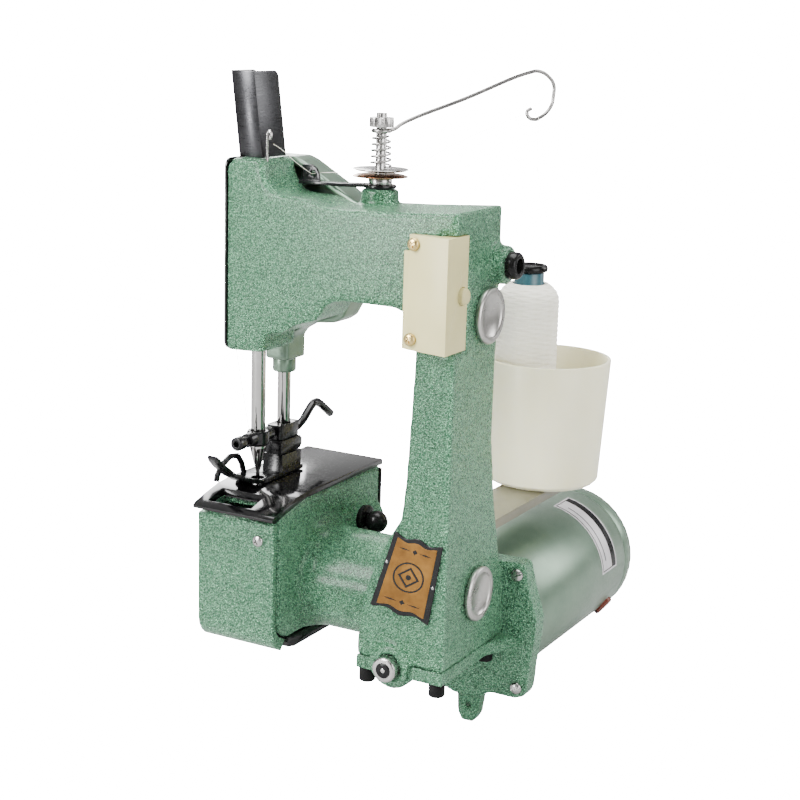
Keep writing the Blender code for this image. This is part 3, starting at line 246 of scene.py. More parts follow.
def black_steel():
    """Blackened, oiled steel with brighter worn patches."""
    t = Tree("blackened_steel")
    wear = t.noise(420.0, 5.0, 0.7)
    fine = t.noise(2600.0, 2.0)
    colour = t.ramp(wear, [(0.5, (0.003, 0.003, 0.0035)), (0.72, (0.014, 0.014, 0.014)),
                           (0.85, (0.07, 0.068, 0.065))])
    rough = t.ramp(wear, [(0.35, 0.17), (0.8, 0.36)])
    return t.done(colour, rough, t.bump(fine, 0.1, 0.0002), Metallic=0.3, Coat_Weight=0.2,
                  Coat_Roughness=0.12,
                  Specular_IOR_Level=0.3)


def bright_steel(name, colour_low, colour_high, scale, rough_low, rough_high):
    """Drawn or turned metal: fine lines across the stretched direction."""
    t = Tree(name)
    lines = t.noise(1.0, 4.0, 0.65, 0.0, t.stretched(scale))
    stain = t.noise(120.0, 4.0, 0.6)
    colour = t.mix(t.ramp(stain, [(0.35, 0.0), (0.8, 0.35)]), colour_high, colour_low)
    rough = t.ramp(lines, [(0.3, rough_low), (0.7, rough_high)])
    return t.done(colour, rough, t.bump(lines, 0.03, 0.00005), Metallic=1.0)


def rubber():
    t = Tree("moulded_rubber")
    grain = t.noise(1500.0, 3.0)
    dust = t.noise(90.0, 4.0)
    colour = t.ramp(dust, [(0.4, (0.003, 0.003, 0.003)), (0.8, (0.008, 0.008, 0.008))])
    rough = t.ramp(grain, [(0.3, 0.6), (0.7, 0.8)])
    return t.done(colour, rough, t.bump(grain, 0.3, 0.0002), Specular_IOR_Level=0.12)


def moulded(name, low, high, rough_low, rough_high, **sockets):
    """Moulded plastic: spark-eroded grain, slow shifts of shade and a few scuffs."""
    t = Tree(name)
    grain = t.noise(1300.0, 3.0)
    shade = t.noise(28.0, 3.0, 0.6)
    scuff = t.noise(210.0, 6.0, 0.75, 0.8)
    colour = t.ramp(shade, [(0.3, low), (0.7, high)])
    rough = t.mix(t.ramp(scuff, [(0.55, 0.0), (0.8, 1.0)]), (rough_low,) * 3, (rough_high,) * 3)
    return t.done(colour, rough, t.bump(grain, 0.12, 0.0002), **sockets)


def yarn():
    """Soft spun thread: fine fibre streaks with a little sheen."""
    t = Tree("spun_yarn")
    fibre = t.noise(1.0, 4.0, 0.7, 0.3, t.stretched((900.0, 900.0, 5200.0)))
    soft = t.noise(60.0, 2.0)
    colour = t.ramp(fibre, [(0.25, (0.82, 0.79, 0.66)), (0.7, (0.96, 0.94, 0.84))])
    colour = t.mix(1.0, colour, t.ramp(soft, [(0.3, 0.93), (0.7, 1.0)]), "MULTIPLY")
    rough = t.ramp(fibre, [(0.3, 0.82), (0.7, 0.95)])
    return t.done(colour, rough, t.bump(fibre, 0.5, 0.0003), Sheen_Weight=0.35, Sheen_Roughness=0.5,
                  Subsurface_Weight=0.15, Subsurface_Radius=(0.002, 0.002, 0.0016))


def gold_plate():
    """Etched gilt sheet, warm and slightly tarnished."""
    t = Tree("gilt_sheet")
    etch = t.noise(1800.0, 3.0, 0.7)
    tarnish = t.noise(75.0, 4.0, 0.65)
    colour = t.ramp(tarnish, [(0.3, (0.10, 0.042, 0.006)), (0.7, (0.21, 0.10, 0.018))])
    rough = t.ramp(etch, [(0.3, 0.3), (0.7, 0.45)])
    return t.done(colour, rough, t.bump(etch, 0.15, 0.0001), Metallic=0.75)


def silver_film():
    """Printed silver film of the motor's plate."""
    t = Tree("silver_film")
    streak = t.noise(1.0, 3.0, 0.6, 0.0, t.stretched((60.0, 1500.0, 60.0)))
    colour = t.ramp(streak, [(0.3, (0.50, 0.48, 0.50)), (0.7, (0.62, 0.60, 0.61))])
    rough = t.ramp(streak, [(0.3, 0.35), (0.7, 0.5)])
    return t.done(colour, rough, t.bump(streak, 0.05, 0.0001), Metallic=0.3)


HAMMER = hammertone()
GREEN = smooth_green()
BLACK = gloss_black()
DARK_STEEL = black_steel()
STEEL = bright_steel("turned_steel", (0.26, 0.255, 0.245), (0.44, 0.43, 0.42), (900.0, 900.0, 900.0),
                     0.16, 0.32)
CHROME = bright_steel("polished_chrome", (0.30, 0.29, 0.28), (0.46, 0.45, 0.44), (2500.0, 2500.0, 160.0),
                      0.05, 0.13)
CAP_CHROME = bright_steel("satin_chrome", (0.30, 0.29, 0.27), (0.44, 0.43, 0.41), (60.0, 60.0, 500.0),
                          0.26, 0.34)
WIRE = bright_steel("drawn_wire", (0.20, 0.195, 0.19), (0.32, 0.31, 0.30), (90.0, 90.0, 90.0), 0.24, 0.32)
BRASS = bright_steel("worn_brass", (0.34, 0.24, 0.08), (0.62, 0.47, 0.20), (700.0, 700.0, 700.0), 0.22, 0.4)
COPPER = bright_steel("coppered_steel", (0.28, 0.15, 0.09), (0.46, 0.28, 0.19), (700.0, 700.0, 700.0),
                      0.2, 0.36)
SHEET = bright_steel("dark_sheet", (0.022, 0.022, 0.024), (0.05, 0.05, 0.053), (140.0, 140.0, 2400.0),
                     0.24, 0.4)
RUBBER = rubber()
CREAM = moulded("cream_plastic_moulding", (0.50, 0.455, 0.215), (0.56, 0.51, 0.25), 0.34, 0.5,
                Subsurface_Weight=0.2, Subsurface_Radius=(0.004, 0.0035, 0.002), Specular_IOR_Level=0.5)
CUP = moulded("milky_cup_plastic", (0.92, 0.87, 0.62), (0.95, 0.91, 0.68), 0.3, 0.45,
              Subsurface_Weight=0.6, Subsurface_Radius=(0.012, 0.012, 0.009), Transmission_Weight=0.12)
BRACKET = moulded("khaki_sheet", (0.10, 0.095, 0.058), (0.15, 0.14, 0.088), 0.35, 0.5)
BLACK_PLASTIC = moulded("black_moulding", (0.002, 0.002, 0.0022), (0.006, 0.006, 0.006), 0.25, 0.4,
                        Specular_IOR_Level=0.18)
TEAL = moulded("teal_moulding", (0.020, 0.075, 0.095), (0.035, 0.11, 0.135), 0.3, 0.45)
RED_BROWN = moulded("phenolic_moulding", (0.12, 0.025, 0.015), (0.19, 0.05, 0.03), 0.25, 0.42)
YARN = yarn()
GILT = gold_plate()
FILM = silver_film()


# ---------------------------------------------------------------- finishing the CAD nodes
def smooth_by_angle():
    """Geometry nodes: smooth faces with sharp edges where the surface turns by more than the limit."""
    group = bpy.data.node_groups.new("smooth_by_angle", "GeometryNodeTree")
    group.interface.new_socket("Geometry", in_out="INPUT", socket_type="NodeSocketGeometry")
    group.interface.new_socket("Geometry", in_out="OUTPUT", socket_type="NodeSocketGeometry")
    source = group.nodes.new("NodeGroupInput")
    result = group.nodes.new("NodeGroupOutput")
    faces = group.nodes.new("GeometryNodeSetShadeSmooth")
    edges = group.nodes.new("GeometryNodeSetShadeSmooth")
    edges.domain = "EDGE"
    angle = group.nodes.new("GeometryNodeInputMeshEdgeAngle")
    gentle = group.nodes.new("FunctionNodeCompare")
    gentle.operation = "LESS_THAN"
    gentle.inputs["B"].default_value = SHARP_ANGLE
    group.links.new(source.outputs[0], faces.inputs["Geometry"])
    group.links.new(faces.outputs["Geometry"], edges.inputs["Geometry"])
    group.links.new(angle.outputs["Unsigned Angle"], gentle.inputs["A"])
    group.links.new(gentle.outputs["Result"], edges.inputs["Shade Smooth"])
    group.links.new(edges.outputs["Geometry"], result.inputs[0])
    return group


SHADING = smooth_by_angle()


def dress(name, material, bevel=0.3, segments=2, cast=None, subdivide=0, thinner=0.0):
    """Material and edge treatment of a CAD node; sizes in mm.

    cast holds (voxel, smoothing steps) for sand-cast edges, and thinner draws the surface in.
    """
    node = NODES[name]
    for attribute in ("custom_normal", "sharp_edge", "sharp_face"):
        if attribute in node.data.attributes:
            node.data.attributes.remove(node.data.attributes[attribute])
    node.data.materials.clear()
    node.data.materials.append(material)
    weld = node.modifiers.new("weld", "WELD")
    weld.merge_threshold = 1e-5
    if cast:
        voxel, steps = cast
        remesh = node.modifiers.new("cast", "REMESH")
        remesh.mode = "VOXEL"
        remesh.voxel_size = voxel * MM * 1.0
        remesh.use_smooth_shade = True
        smooth = node.modifiers.new("soft_edges", "SMOOTH")
        smooth.factor = 0.5
        smooth.iterations = steps // 1
        return node
    if subdivide:
        subsurf = node.modifiers.new("round", "SUBSURF")
        subsurf.levels = subdivide
        subsurf.render_levels = subdivide
    if thinner:
        shrink = node.modifiers.new("shrink", "DISPLACE")
        shrink.strength = -thinner * MM
        shrink.mid_level = 0.0
    if bevel:
        edge = node.modifiers.new("edge", "BEVEL")
        edge.width = bevel * MM
        edge.segments = segments
        edge.limit_method = "ANGLE"
        edge.angle_limit = SHARP_ANGLE
    shade = node.modifiers.new("shade", "NODES")
    shade.node_group = SHADING
    return node


def dress_frame():
    dress("body_casting", HAMMER, cast=(0.9, 16))
    dress("looper_housing", HAMMER, cast=(0.8, 26))
    dress("motor_bracket", HAMMER, cast=(0.7, 8))
    dress("base_plate", HAMMER, cast=(0.7, 6))
    dress("looper_front_cover", HAMMER, 0.7, 3)
    dress("head_rear_cover", GREEN, cast=(0.8, 12))
    dress("presser_bushing", GREEN, 0.3)
    dress("motor_shell", GREEN, 0.4)
    dress("motor_end_cap", GREEN, 0.3)
    dress("head_end_cover", BLACK, 0.3)
    dress("looper_bottom_cover", BLACK, 0.5)
    dress("throat_plate", BLACK, 0.6, 3)
    for name in ("hub_sleeve", "motor_rotor", "lower_shaft", "belt_idler", "upper_shaft", "connecting_rod",
                 "take_up_arm", "feed_dog", "tension_post", "tension_disc_upper", "tension_nut"):
        dress(name, STEEL, 0.15)
    for name in ("needle_bar", "presser_bar", "needle", "looper"):
        dress(name, CHROME, 0.15)
    for name in ("upper_end_cap", "lower_end_cap"):
        dress(name, CAP_CHROME, 0.2)
    for name in ("needle_clamp", "clamp_screw", "presser_collar", "presser_foot", "guide_strip"):
        dress(name, DARK_STEEL, 0.35, 3)
    dress("worm_wheel", BRASS, 0.0)
    dress("tension_disc_lower", COPPER, 0.1)
    dress("needle_guard", SHEET, 0.25)
    for name in ("timing_belt", "rubber_foot_front_left", "rubber_foot_front_right",
                 "rubber_foot_rear_left",
                 "rubber_foot_rear_right"):
        dress(name, RUBBER, 0.3)
    dress("switch_box", CREAM, 1.6, 4)
    dress("switch_button", CREAM, 0.5, 3)
    dress("cup_bracket", BRACKET, 0.4)
    dress("thread_cup", CUP, 0.5, 3)
    dress("latch_knob", BLACK_PLASTIC, 0.2)
    dress("cone_cap", BLACK_PLASTIC, 0.3)
    dress("cable_gland", BLACK_PLASTIC, 0.4)
    dress("cone_tube", TEAL, 0.3)
    dress("thread", YARN, 0.0, subdivide=2, thinner=0.09)
    dress("stitch_thread", YARN, 0.0, subdivide=2, thinner=0.12)


# ---------------------------------------------------------------- piece helpers
def piece(obj, material, body):
    """Puts a new piece in the scene with its material and CAD body."""
    if obj.name not in bpy.context.scene.collection.objects:
        bpy.context.scene.collection.objects.link(obj)
    obj.data.materials.clear()
    obj.data.materials.append(material)
    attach(obj, body)
    return obj


def mesh_object(name, bm, smooth=True):
    mesh = bpy.data.meshes.new(name)
    bmesh.ops.recalc_face_normals(bm, faces=bm.faces)
    bm.to_mesh(mesh)
    bm.free()
    if smooth:
        mesh.shade_smooth()
        mesh.set_sharp_from_angle(angle=math.radians(40.0))
    return bpy.data.objects.new(name, mesh)


def turn(bm, profile, place, sides=48):
    """Adds a closed solid of revolution: profile holds (along, radius), place takes local Z to its axis."""
    rings = []
    for along, radius in profile:
        ring = [bm.verts.new(place @ Vector((radius * math.cos(2 * math.pi * i / sides),
                                             radius * math.sin(2 * math.pi * i / sides), along)))
                for i in range(sides)]
        rings.append(ring)
    for low, high in zip(rings, rings[1:]):
        for i in range(sides):
            j = (i + 1) % sides
            bm.faces.new((low[i], low[j], high[j], high[i]))
    bm.faces.new(rings[0][::-1])
    bm.faces.new(rings[-1])


def facing(direction, centre):
    """Matrix that takes local +Z to direction at centre."""
    return Matrix.Translation(centre) @ Vector(direction).to_track_quat("Z", "Y").to_matrix().to_4x4()


def wire(name, points, radius, material, body, solid=False):
    """Round wire on a smooth curve through points in metres; solid makes it a mesh."""
    data = bpy.data.curves.new(name, "CURVE")
    data.dimensions = "3D"
    data.bevel_depth = radius
    data.bevel_resolution = 5
    data.use_fill_caps = True
    data.resolution_u = 10
    spline = data.splines.new("BEZIER")
    spline.bezier_points.add(len(points) - 1)
    for knot, place in zip(spline.bezier_points, points):
        knot.co = place
        knot.handle_left_type = "AUTO"
        knot.handle_right_type = "AUTO"
    if solid:
        curve = bpy.data.objects.new(name + "_path", data)
        data = bpy.data.meshes.new_from_object(curve)
        bpy.data.objects.remove(curve)
    return piece(bpy.data.objects.new(name, data), material, body)


def pan_screw(name, centre, direction, radius, material, body, recess="cross"):
    """Domed screw head with a cross or plain slot recess cut into it."""
    place = facing(direction, centre)
    bm = bmesh.new()
    height = radius * 0.62
    dome = [(-0.2 * radius, radius * 0.97), (0.12 * radius, radius)]
    for k in range(1, 7):
        angle = math.radians(90.0 * k / 6.6)
        dome.append((0.12 * radius + (height - 0.12 * radius) * math.sin(angle),
                     radius * math.cos(angle) ** 0.75))
    turn(bm, dome, place, 36)
    head = piece(mesh_object(name, bm), material, body)
    arms = (0.0, 90.0) if recess == "cross" else (0.0,)
    for i, turned in enumerate(arms):
        bm = bmesh.new()
        size = (radius * (1.05 if recess == "cross" else 2.4), radius * 0.24, radius * 0.9)
        bmesh.ops.create_cube(bm, size=1.0, matrix=place @ Matrix.Rotation(math.radians(turned + 25.0), 4,
                                                                           "Z")
                              @ Matrix.Translation((0.0, 0.0, height * 1.1)) @ Matrix.Diagonal((*size,
                                                                                                1.0)))
        tool = mesh_object("%s_recess_%d" % (name, i), bm, smooth=False)
        bpy.context.scene.collection.objects.link(tool)
        tool.hide_render = True
        tool.hide_viewport = False
        cut = head.modifiers.new("recess_%d" % i, "BOOLEAN")
        cut.operation = "DIFFERENCE"
        cut.solver = "EXACT"
        cut.object = tool
    bpy.context.view_layer.update()
    baked = bpy.data.meshes.new_from_object(head.evaluated_get(bpy.context.evaluated_depsgraph_get()))
    head.modifiers.clear()
    head.data = baked
    for i in range(len(arms)):
        bpy.data.objects.remove(bpy.data.objects["%s_recess_%d" % (name, i)], do_unlink=True)
    return head


# ---------------------------------------------------------------- thread supply
def wound_yarn():
    """Cross-wound package: two families of helical thread lines stand on a rounded body."""
    low, high = CONE_LOW.z, CONE_HIGH.z
    outer = (CONE_HIGH.x - CONE_LOW.x) / 2
    bore = 8.3 * MM
    around, rows = ((420, 460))
    lift = 0.28 * MM
    profile = []
    for k in range(rows + 1):
        t = k / rows
        z = low + (high - low) * t
        edge = min(t / 0.02, 1.0)
        top = max(0.0, (t - 0.90) / 0.10)
        radius = outer - 0.75 * MM - (1 - edge) ** 2 * 1.5 * MM - (outer - bore - 2.2 * MM) * top ** 2.6
        profile.append((z, radius))
    bm = bmesh.new()
    rings = []
    for z, radius in profile:
        ring = []
        for i in range(around):
            angle = 2 * math.pi * i / around
            up = (z - low) / (0.62 * MM)
            ridge = max(math.sin(up * 1.55 + angle * 7.0), math.sin(up * 1.55 - angle * 7.0))
            fine = 0.35 * math.sin(up * 5.1 + angle * 3.0)
            r = radius + lift * (ridge + fine)
            ring.append(bm.verts.new((CONE.x + r * math.cos(angle), CONE.y + r * math.sin(angle), z)))
        rings.append(ring)
    for r, z in ((bore, high - 0.3 * MM), (bore, low)):
        rings.append([bm.verts.new((CONE.x + r * math.cos(2 * math.pi * i / around),
                                    CONE.y + r * math.sin(2 * math.pi * i / around),
                                    z)) for i in range(around)])
    for first, second in zip(rings, [*rings[1:], rings[0]]):
        for i in range(around):
            j = (i + 1) % around
            bm.faces.new((first[i], first[j], second[j], second[i]))
    obj = piece(mesh_object("wound_yarn", bm), YARN, "frame")
    obj.data.shade_smooth()
    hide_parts("yarn_cone")


def coil_path(centre, bottom, top, reach_low, reach_high, turns, steps):
    """Points of a helix that tapers from one radius to another."""
    points = []
    for i in range(turns * steps + 1):
        t = i / (turns * steps)
        angle = 2 * math.pi * i / steps
        reach = reach_low + (reach_high - reach_low) * t
        points.append((centre.x + reach * math.cos(angle), centre.y + reach * math.sin(angle),
                       bottom + (top - bottom) * t))
    return points


def wires():
    """Smooth wires in place of the faceted ones."""
    loop = [(POST.x + 3.9 * MM * math.cos(math.radians(a)), POST.y + 3.9 * MM * math.sin(math.radians(a)),
             POST_HIGH.z - 8.1 * MM) for a in range(200, 441, 30)]
    arm = [(2.1, 7.6, -7.7), (4.1, 12.0, -5.2), (17.5, 48.6, 5.7), (31.5, 90.6, 17.9), (33.5, 97.0, 18.4),
           (35.9, 104.0, 15.6), (37.3, 107.3, 11.6), (37.3, 107.4, 6.0), (37.1, 106.5, 2.2),
           (36.1, 103.6, -1.4),
           (34.5, 99.0, -4.1), (33.1, 94.8, -5.1), (31.3, 91.6, -3.8), (30.5, 91.6, -1.4),
           (31.5, 94.0, 0.2)]
    arm = [(POST.x + x * MM, POST.y + y * MM, POST_HIGH.z + z * MM) for x, y, z in arm]
    hook = wire("thread_hook_wire", loop + arm, 0.95 * MM, WIRE, "frame")
    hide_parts("thread_hook")

    low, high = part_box("tension_spring")
    wire_radius = 0.5 * MM
    path = coil_path(POST, low.z + wire_radius, high.z - wire_radius, 4.6 * MM, 3.9 * MM, 5, 12)
    spring = wire("tension_coil", path, wire_radius, WIRE, "frame")
    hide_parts("tension_spring")

    low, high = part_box("presser_spring")
    wire_radius = 0.4 * MM
    reach = (high.x - low.x) / 2 - wire_radius
    centre = (low + high) / 2
    path = coil_path(centre, low.z + wire_radius, high.z - wire_radius, reach, reach, 7, 16)
    presser = wire("presser_coil", path, wire_radius, WIRE, "frame", solid=True)
    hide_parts("presser_spring")
    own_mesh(presser)


# ---------------------------------------------------------------- plates
def plate_point(u, v, out):
    """Point of the nameplate's leaning quadrilateral; u runs right, v up, out forwards."""
    bottom_left, bottom_right = Vector((-26.4, -70.1)), Vector((4.5, -73.9))
    top_left, top_right = Vector((-14.2, -32.0)), Vector((10.8, -35.3))
    low = bottom_left.lerp(bottom_right, u)
    high = top_left.lerp(top_right, u)
    place = low.lerp(high, v) * MM
    return Vector((place.x, PLATE_BACK_Y - out * MM, place.y))


def scalloped(inset_u, inset_v, wave, count=36):
    """(u, v) outline with a bump between two bites on its top and bottom edges."""
    outline = []
    for i in range(count + 1):
        u = inset_u + (1 - 2 * inset_u) * i / count
        bite = wave * (1 - math.cos(4 * math.pi * i / count)) / 2
        outline.append((u, 1 - inset_v - bite))
    return outline + [(1 - u, 1 - v) for u, v in outline]


def raised(name, outline, low, high, material, bevel=0.12):
    """Flat piece standing on the nameplate between two heights."""
    bm = bmesh.new()
    printed(bm, outline, low, high)
    obj = piece(mesh_object(name, bm), material, "frame")
    if bevel:
        edge = obj.modifiers.new("edge", "BEVEL")
        edge.width = bevel * MM
        edge.segments = 2
        edge.limit_method = "ANGLE"
    return obj


def printed(bm, outline, low, high):
    """Adds one small raised mark to bm."""
    lower = [bm.verts.new(plate_point(u, v, low)) for u, v in outline]
    upper = [bm.verts.new(plate_point(u, v, high)) for u, v in outline]
    bm.faces.new(lower)
    bm.faces.new(upper[::-1])
    for i in range(len(outline)):
        j = (i + 1) % len(outline)
        bm.faces.new((lower[i], upper[i], upper[j], lower[j]))


def lozenge(u, v, width, height):
    return [(u - width, v), (u, v - height), (u + width, v), (u, v + height)]


def ellipse(u, v, ru, rv, count=28):
    return [(u + ru * math.cos(2 * math.pi * i / count), v + rv * math.sin(2 * math.pi * i / count))
            for i in range(count)]


def band(bm, outer, inner):
    """Adds a closed raised band between two outlines with the same number of points."""
    for k in range(len(outer)):
        j = (k + 1) % len(outer)
        printed(bm, [outer[k], outer[j], inner[j], inner[k]], 0.8, 0.97)


def nameplate():
    """Scalloped plate with a black rim and plain geometric ornament: rings, a lozenge, beads and rules."""
    rim = raised("nameplate_rim", scalloped(0.0, 0.0, 0.045), 0.1, 0.75, BLACK_PLASTIC,
                 0.25)
    raised("nameplate_field", scalloped(0.095, 0.06, 0.03), 0.6, 0.9, GILT)
    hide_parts("nameplate")
    bm = bmesh.new()
    centre_u, centre_v = 0.5, 0.50
    band(bm, ellipse(centre_u, centre_v, 0.285, 0.19, 40), ellipse(centre_u, centre_v, 0.255, 0.17, 40))
    band(bm, lozenge(centre_u, centre_v, 0.20, 0.135), lozenge(centre_u, centre_v, 0.15, 0.10))
    printed(bm, ellipse(centre_u, centre_v, 0.05, 0.033, 20), 0.8, 0.97)
    for v in (0.83, 0.17):
        printed(bm, lozenge(0.5, v, 0.05, 0.033), 0.8, 0.97)
        for u in (0.29, 0.71):
            printed(bm, lozenge(u, v, 0.13, 0.009), 0.8, 0.97)
    piece(mesh_object("nameplate_ornament", bm, smooth=False), BLACK_PLASTIC, "frame")
    for side, (u, v) in (("left", (0.035, 0.60)), ("right", (0.955, 0.47))):
        bm = bmesh.new()
        place = facing((0, -1, 0), plate_point(u, v, 0.5))
        turn(bm, [(0.0, 0.75 * MM), (0.25 * MM, 0.7 * MM), (0.42 * MM, 0.4 * MM)], place, 20)
        piece(mesh_object("nameplate_pin_" + side, bm), STEEL, "frame")


def arc_patch(bm, start, end, y_low, y_high, inner, outer):
    """Adds a thin curved block on the motor: angles in degrees from +X, y and radii in mm."""
    steps = max(2, int(abs(end - start) / 3.0))
    grid = []
    for i in range(steps + 1):
        angle = math.radians(start + (end - start) * i / steps)
        column = []
        for radius, y in ((inner, y_low), (outer, y_low), (outer, y_high), (inner, y_high)):
            column.append(bm.verts.new((MOTOR_X + radius * MM * math.cos(angle), y * MM,
                                        MOTOR_Z + radius * MM * math.sin(angle))))
        grid.append(column)
    for first, second in zip(grid, grid[1:]):
        for k in range(4):
            j = (k + 1) % 4
            bm.faces.new((first[k], second[k], second[j], first[j]))
    bm.faces.new(grid[0])
    bm.faces.new(grid[-1][::-1])


def motor_label():
    """Silver film with a dark band, a fine frame and one plain stripe."""
    start, end, low, high = 4.0, 81.0, 136.0, 156.0
    base = MOTOR_R / MM
    bm = bmesh.new()
    arc_patch(bm, start, end, low, high, base - 0.2, base + 0.12)
    piece(mesh_object("motor_label", bm), FILM, "frame")
    bm = bmesh.new()
    for a0, a1, y0, y1 in ((start + 1.6, end - 1.6, high - 6.6, high - 1.2),
                           (start + 1.6, start + 2.4, low + 1.2, high - 6.6),
                           (end - 2.4, end - 1.6, low + 1.2, high - 6.6),
                           (start + 1.6, end - 1.6, low + 1.2, low + 1.8)):
        arc_patch(bm, a0, a1, y0, y1, base, base + 0.17)
    piece(mesh_object("motor_label_print", bm), BLACK_PLASTIC, "frame")
    bm = bmesh.new()
    arc_patch(bm, start + 10.0, end - 10.0, low + 5.6, low + 6.4, base, base + 0.16)
    piece(mesh_object("motor_label_stripe", bm), SHEET, "frame")


# ---------------------------------------------------------------- fasteners and small parts
def fasteners():
    for node in ("switch_screw_upper", "switch_screw_lower", "looper_cover_screw"):
        low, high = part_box(node)
        centre = Vector(((low.x + high.x) / 2, high.y, (low.z + high.z) / 2))
        screw = pan_screw(node + "_head", centre, (0, -1, 0), (high.x - low.x) / 2,
                          BRASS if node.startswith("switch") else STEEL, "frame")
        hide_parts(node)
    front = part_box("motor_bracket")[0].y
    for i, (x, z) in enumerate(((18.1, -66.2), (20.2, -124.5), (-44.0, -98.0))):
        pan_screw("bracket_screw_%d" % (i + 1), Vector((x * MM, front, z * MM)), (0, -1, 0), 3.1 * MM,
                  STEEL,
                  "frame", "slot")
    end_low, end_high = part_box("head_end_cover")
    inset = 5.0 * MM
    for i, (y, z) in enumerate(((end_low.y + inset, end_low.z + inset),
                                (end_high.y - inset, end_low.z + inset),
                                (end_low.y + inset, end_high.z - inset),
                                (end_high.y - inset, end_high.z - inset))):
        pan_screw("end_cover_screw_%d" % (i + 1), Vector((end_low.x + 0.1 * MM, y, z)), (-1, 0, 0),
                  2.4 * MM, STEEL,
                  "frame")
    cap_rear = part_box("motor_end_cap")[1].y
    for i in range(2):
        angle = math.radians(40.0 + 180.0 * i)
        centre = Vector((MOTOR_X + 25.0 * MM * math.cos(angle), cap_rear - 0.6 * MM,
                         MOTOR_Z + 25.0 * MM * math.sin(angle)))
        pan_screw("end_cap_screw_%d" % (i + 1), centre, (0, 1, 0), 2.6 * MM, STEEL, "frame",
                  "slot")


def hub_plug():
    """Black plug with a bright centre in the front hub's sleeve."""
    low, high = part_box("hub_sleeve")
    centre = Vector(((low.x + high.x) / 2, low.y, (low.z + high.z) / 2))
    place = facing((0, -1, 0), centre)
    bm = bmesh.new()
    turn(bm, [(-0.5 * MM, 3.7 * MM), (0.25 * MM, 3.7 * MM), (0.5 * MM, 3.3 * MM), (0.5 * MM, 1.5 * MM),
              (0.2 * MM, 1.2 * MM)], place)
    piece(mesh_object("hub_plug", bm), BLACK_PLASTIC, "frame")
    bm = bmesh.new()
    turn(bm, [(-0.2 * MM, 1.1 * MM), (0.3 * MM, 1.1 * MM), (0.45 * MM, 0.6 * MM)], place, 24)
    piece(mesh_object("hub_centre", bm), CHROME, "frame")


def brush_holder():
    """Caps of the motor's brushes, one low on each side, each with a shallow round recess in its end."""
    angle = math.radians(-38.0)
    direction = Vector((math.cos(angle), 0, math.sin(angle)))
    for i, way in enumerate((direction, Vector((-direction.x, 0, direction.z)))):
        seat = Vector((MOTOR_X, 158.0 * MM, MOTOR_Z)) + way * (MOTOR_R - 1.0 * MM)
        bm = bmesh.new()
        turn(bm, [(0.0, 6.0 * MM), (2.2 * MM, 6.0 * MM), (2.8 * MM, 5.4 * MM), (2.8 * MM, 3.4 * MM),
                  (1.8 * MM, 3.2 * MM)],
             facing(way, seat))
        piece(mesh_object("brush_holder_%d" % (i + 1), bm), RED_BROWN, "frame")


def latch_seat():
    """Black ring behind the ball knob."""
    low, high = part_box("latch_knob")
    centre = Vector((-65.2 * MM, (low.y + high.y) / 2, (low.z + high.z) / 2))
    bm = bmesh.new()
    turn(bm, [(-1.5 * MM, 7.6 * MM), (0.6 * MM, 7.6 * MM), (1.1 * MM, 7.0 * MM), (1.1 * MM, 2.6 * MM)],
         facing((1, 0, 0), centre))
    piece(mesh_object("latch_ring", bm), BLACK_PLASTIC, "frame")


# ---------------------------------------------------------------- studio
FLOOR_GLOW = 26.0  # lifts the floor to the white of the backdrop; casts no light on the machine
BACKDROP = 30.0  # seen directly, and casts no light
WORLD_LIGHT = 0.9
WORLD_HEIGHTS = ((0.0, 0.55), (0.48, 0.62), (0.56, 0.95), (0.75, 0.75), (1.0, 1.0))  # height, brightness
WORLD_RIGHT = 0.16  # brightness at the far right, where the room is darker


def softbox(name, place, target, size, power, colour=(1.0, 1.0, 1.0)):
    data = bpy.data.lights.new(name, "AREA")
    data.shape = "RECTANGLE"
    data.size, data.size_y = size
    data.energy = power
    data.color = colour
    obj = bpy.data.objects.new(name, data)
    obj.location = place
    obj.rotation_euler = (Vector(target) - Vector(place)).to_track_quat("-Z", "Y").to_euler()
    bpy.context.scene.collection.objects.link(obj)


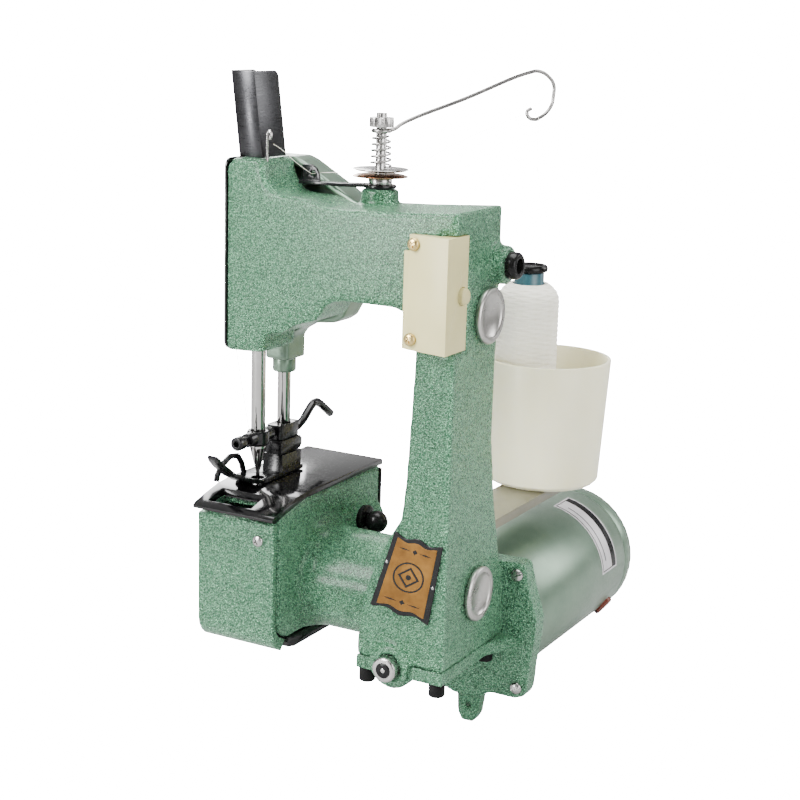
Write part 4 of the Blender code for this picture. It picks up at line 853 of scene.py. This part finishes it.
def studio():
    low = cad_box[0]
    bm = bmesh.new()
    bmesh.ops.create_circle(bm, cap_ends=True, segments=96, radius=6.0)
    floor = mesh_object("studio_floor", bm, smooth=False)
    floor.location = (0.0, 0.0, low.z - 0.5 * MM)
    t = Tree("pale_floor")
    t.done(t.ramp(t.noise(3.0), [(0.3, 0.42), (0.7, 0.46)]), t.ramp(t.noise(9.0), [(0.3, 0.6), (0.7, 0.7)]),
           Emission_Color=(1.0, 1.0, 1.0, 1.0))
    direct = t.add("ShaderNodeLightPath")
    t.link(t.math("MULTIPLY", direct.outputs["Is Camera Ray"], FLOOR_GLOW),
           t.shader.inputs["Emission Strength"])
    floor.data.materials.append(t.material)
    bpy.context.scene.collection.objects.link(floor)

    world = bpy.data.worlds.new("soft_studio")
    bpy.context.scene.world = world
    world.use_nodes = True
    nodes, links = world.node_tree.nodes, world.node_tree.links
    background = nodes["Background"]
    place = nodes.new("ShaderNodeTexCoord")
    split = nodes.new("ShaderNodeSeparateXYZ")
    ramp = nodes.new("ShaderNodeValToRGB")
    height = nodes.new("ShaderNodeMapRange")
    height.inputs["From Min"].default_value = -1.0
    links.new(place.outputs["Generated"], split.inputs[0])
    links.new(split.outputs["Z"], height.inputs["Value"])
    links.new(height.outputs["Result"], ramp.inputs["Fac"])
    elements = ramp.color_ramp.elements
    for _ in range(3):
        elements.new(0.5)
    for element, (position, value) in zip(elements, WORLD_HEIGHTS):
        element.position = position
        element.color = (value, value, value, 1.0)
    background.inputs["Strength"].default_value = WORLD_LIGHT
    side = nodes.new("ShaderNodeMapRange")
    side.inputs["From Min"].default_value = -0.5
    side.inputs["From Max"].default_value = 0.8
    side.inputs["To Min"].default_value = 1.0
    side.inputs["To Max"].default_value = WORLD_RIGHT
    links.new(split.outputs["X"], side.inputs["Value"])
    shaded = nodes.new("ShaderNodeVectorMath")
    shaded.operation = "SCALE"
    links.new(ramp.outputs["Color"], shaded.inputs[0])
    links.new(side.outputs["Result"], shaded.inputs["Scale"])
    links.new(shaded.outputs[0], background.inputs["Color"])
    white = nodes.new("ShaderNodeBackground")
    white.inputs["Strength"].default_value = BACKDROP
    sight = nodes.new("ShaderNodeLightPath")
    choose = nodes.new("ShaderNodeMixShader")
    links.new(sight.outputs["Is Camera Ray"], choose.inputs["Fac"])
    links.new(background.outputs[0], choose.inputs[1])
    links.new(white.outputs[0], choose.inputs[2])
    links.new(choose.outputs[0], nodes["World Output"].inputs["Surface"])

    centre = (-0.04, 0.03, 0.02)
    softbox("key", (-0.55, -1.05, 0.80), centre, (0.6, 0.7), 52.0)
    softbox("front_strip", (-0.60, -1.10, 0.06), centre, (0.16, 0.30), 8.0)
    softbox("overhead", (0.0, 0.1, 1.2), centre, (0.9, 0.7), 22.0)
    softbox("right_fill", (1.1, -0.35, 0.35), centre, (0.9, 0.9), 16.0)
    softbox("rear_left", (-0.9, 0.9, 0.6), centre, (0.5, 0.7), 14.0)
    softbox("rear_right", (0.8, 1.0, 0.5), centre, (0.5, 0.7), 9.0)


CAMERA_PLACE = (0.3351, -0.6668, 0.1995)
CAMERA_TURN = (28.82, 13.21, -1.67)  # yaw, pitch and roll in degrees
CAMERA_LENS = 74.53


def camera():
    yaw, pitch, roll = (math.radians(angle) for angle in CAMERA_TURN)
    data = bpy.data.cameras.new("camera")
    data.sensor_width = 36.0
    data.lens = CAMERA_LENS
    obj = bpy.data.objects.new("camera", data)
    right = Vector((math.cos(yaw), math.sin(yaw), 0.0))
    forward = Vector((-math.sin(yaw) * math.cos(pitch), math.cos(yaw) * math.cos(pitch), -math.sin(pitch)))
    down = forward.cross(right)
    across = right * math.cos(roll) + down * math.sin(roll)
    below = -right * math.sin(roll) + down * math.cos(roll)
    turn_matrix = Matrix((across, -below, -forward)).transposed()
    obj.matrix_world = Matrix.Translation(CAMERA_PLACE) @ turn_matrix.to_4x4()
    bpy.context.scene.collection.objects.link(obj)
    bpy.context.scene.camera = obj


dress_frame()
wound_yarn()
wires()
nameplate()
motor_label()
fasteners()
hub_plug()
brush_holder()
latch_seat()
studio()
camera()
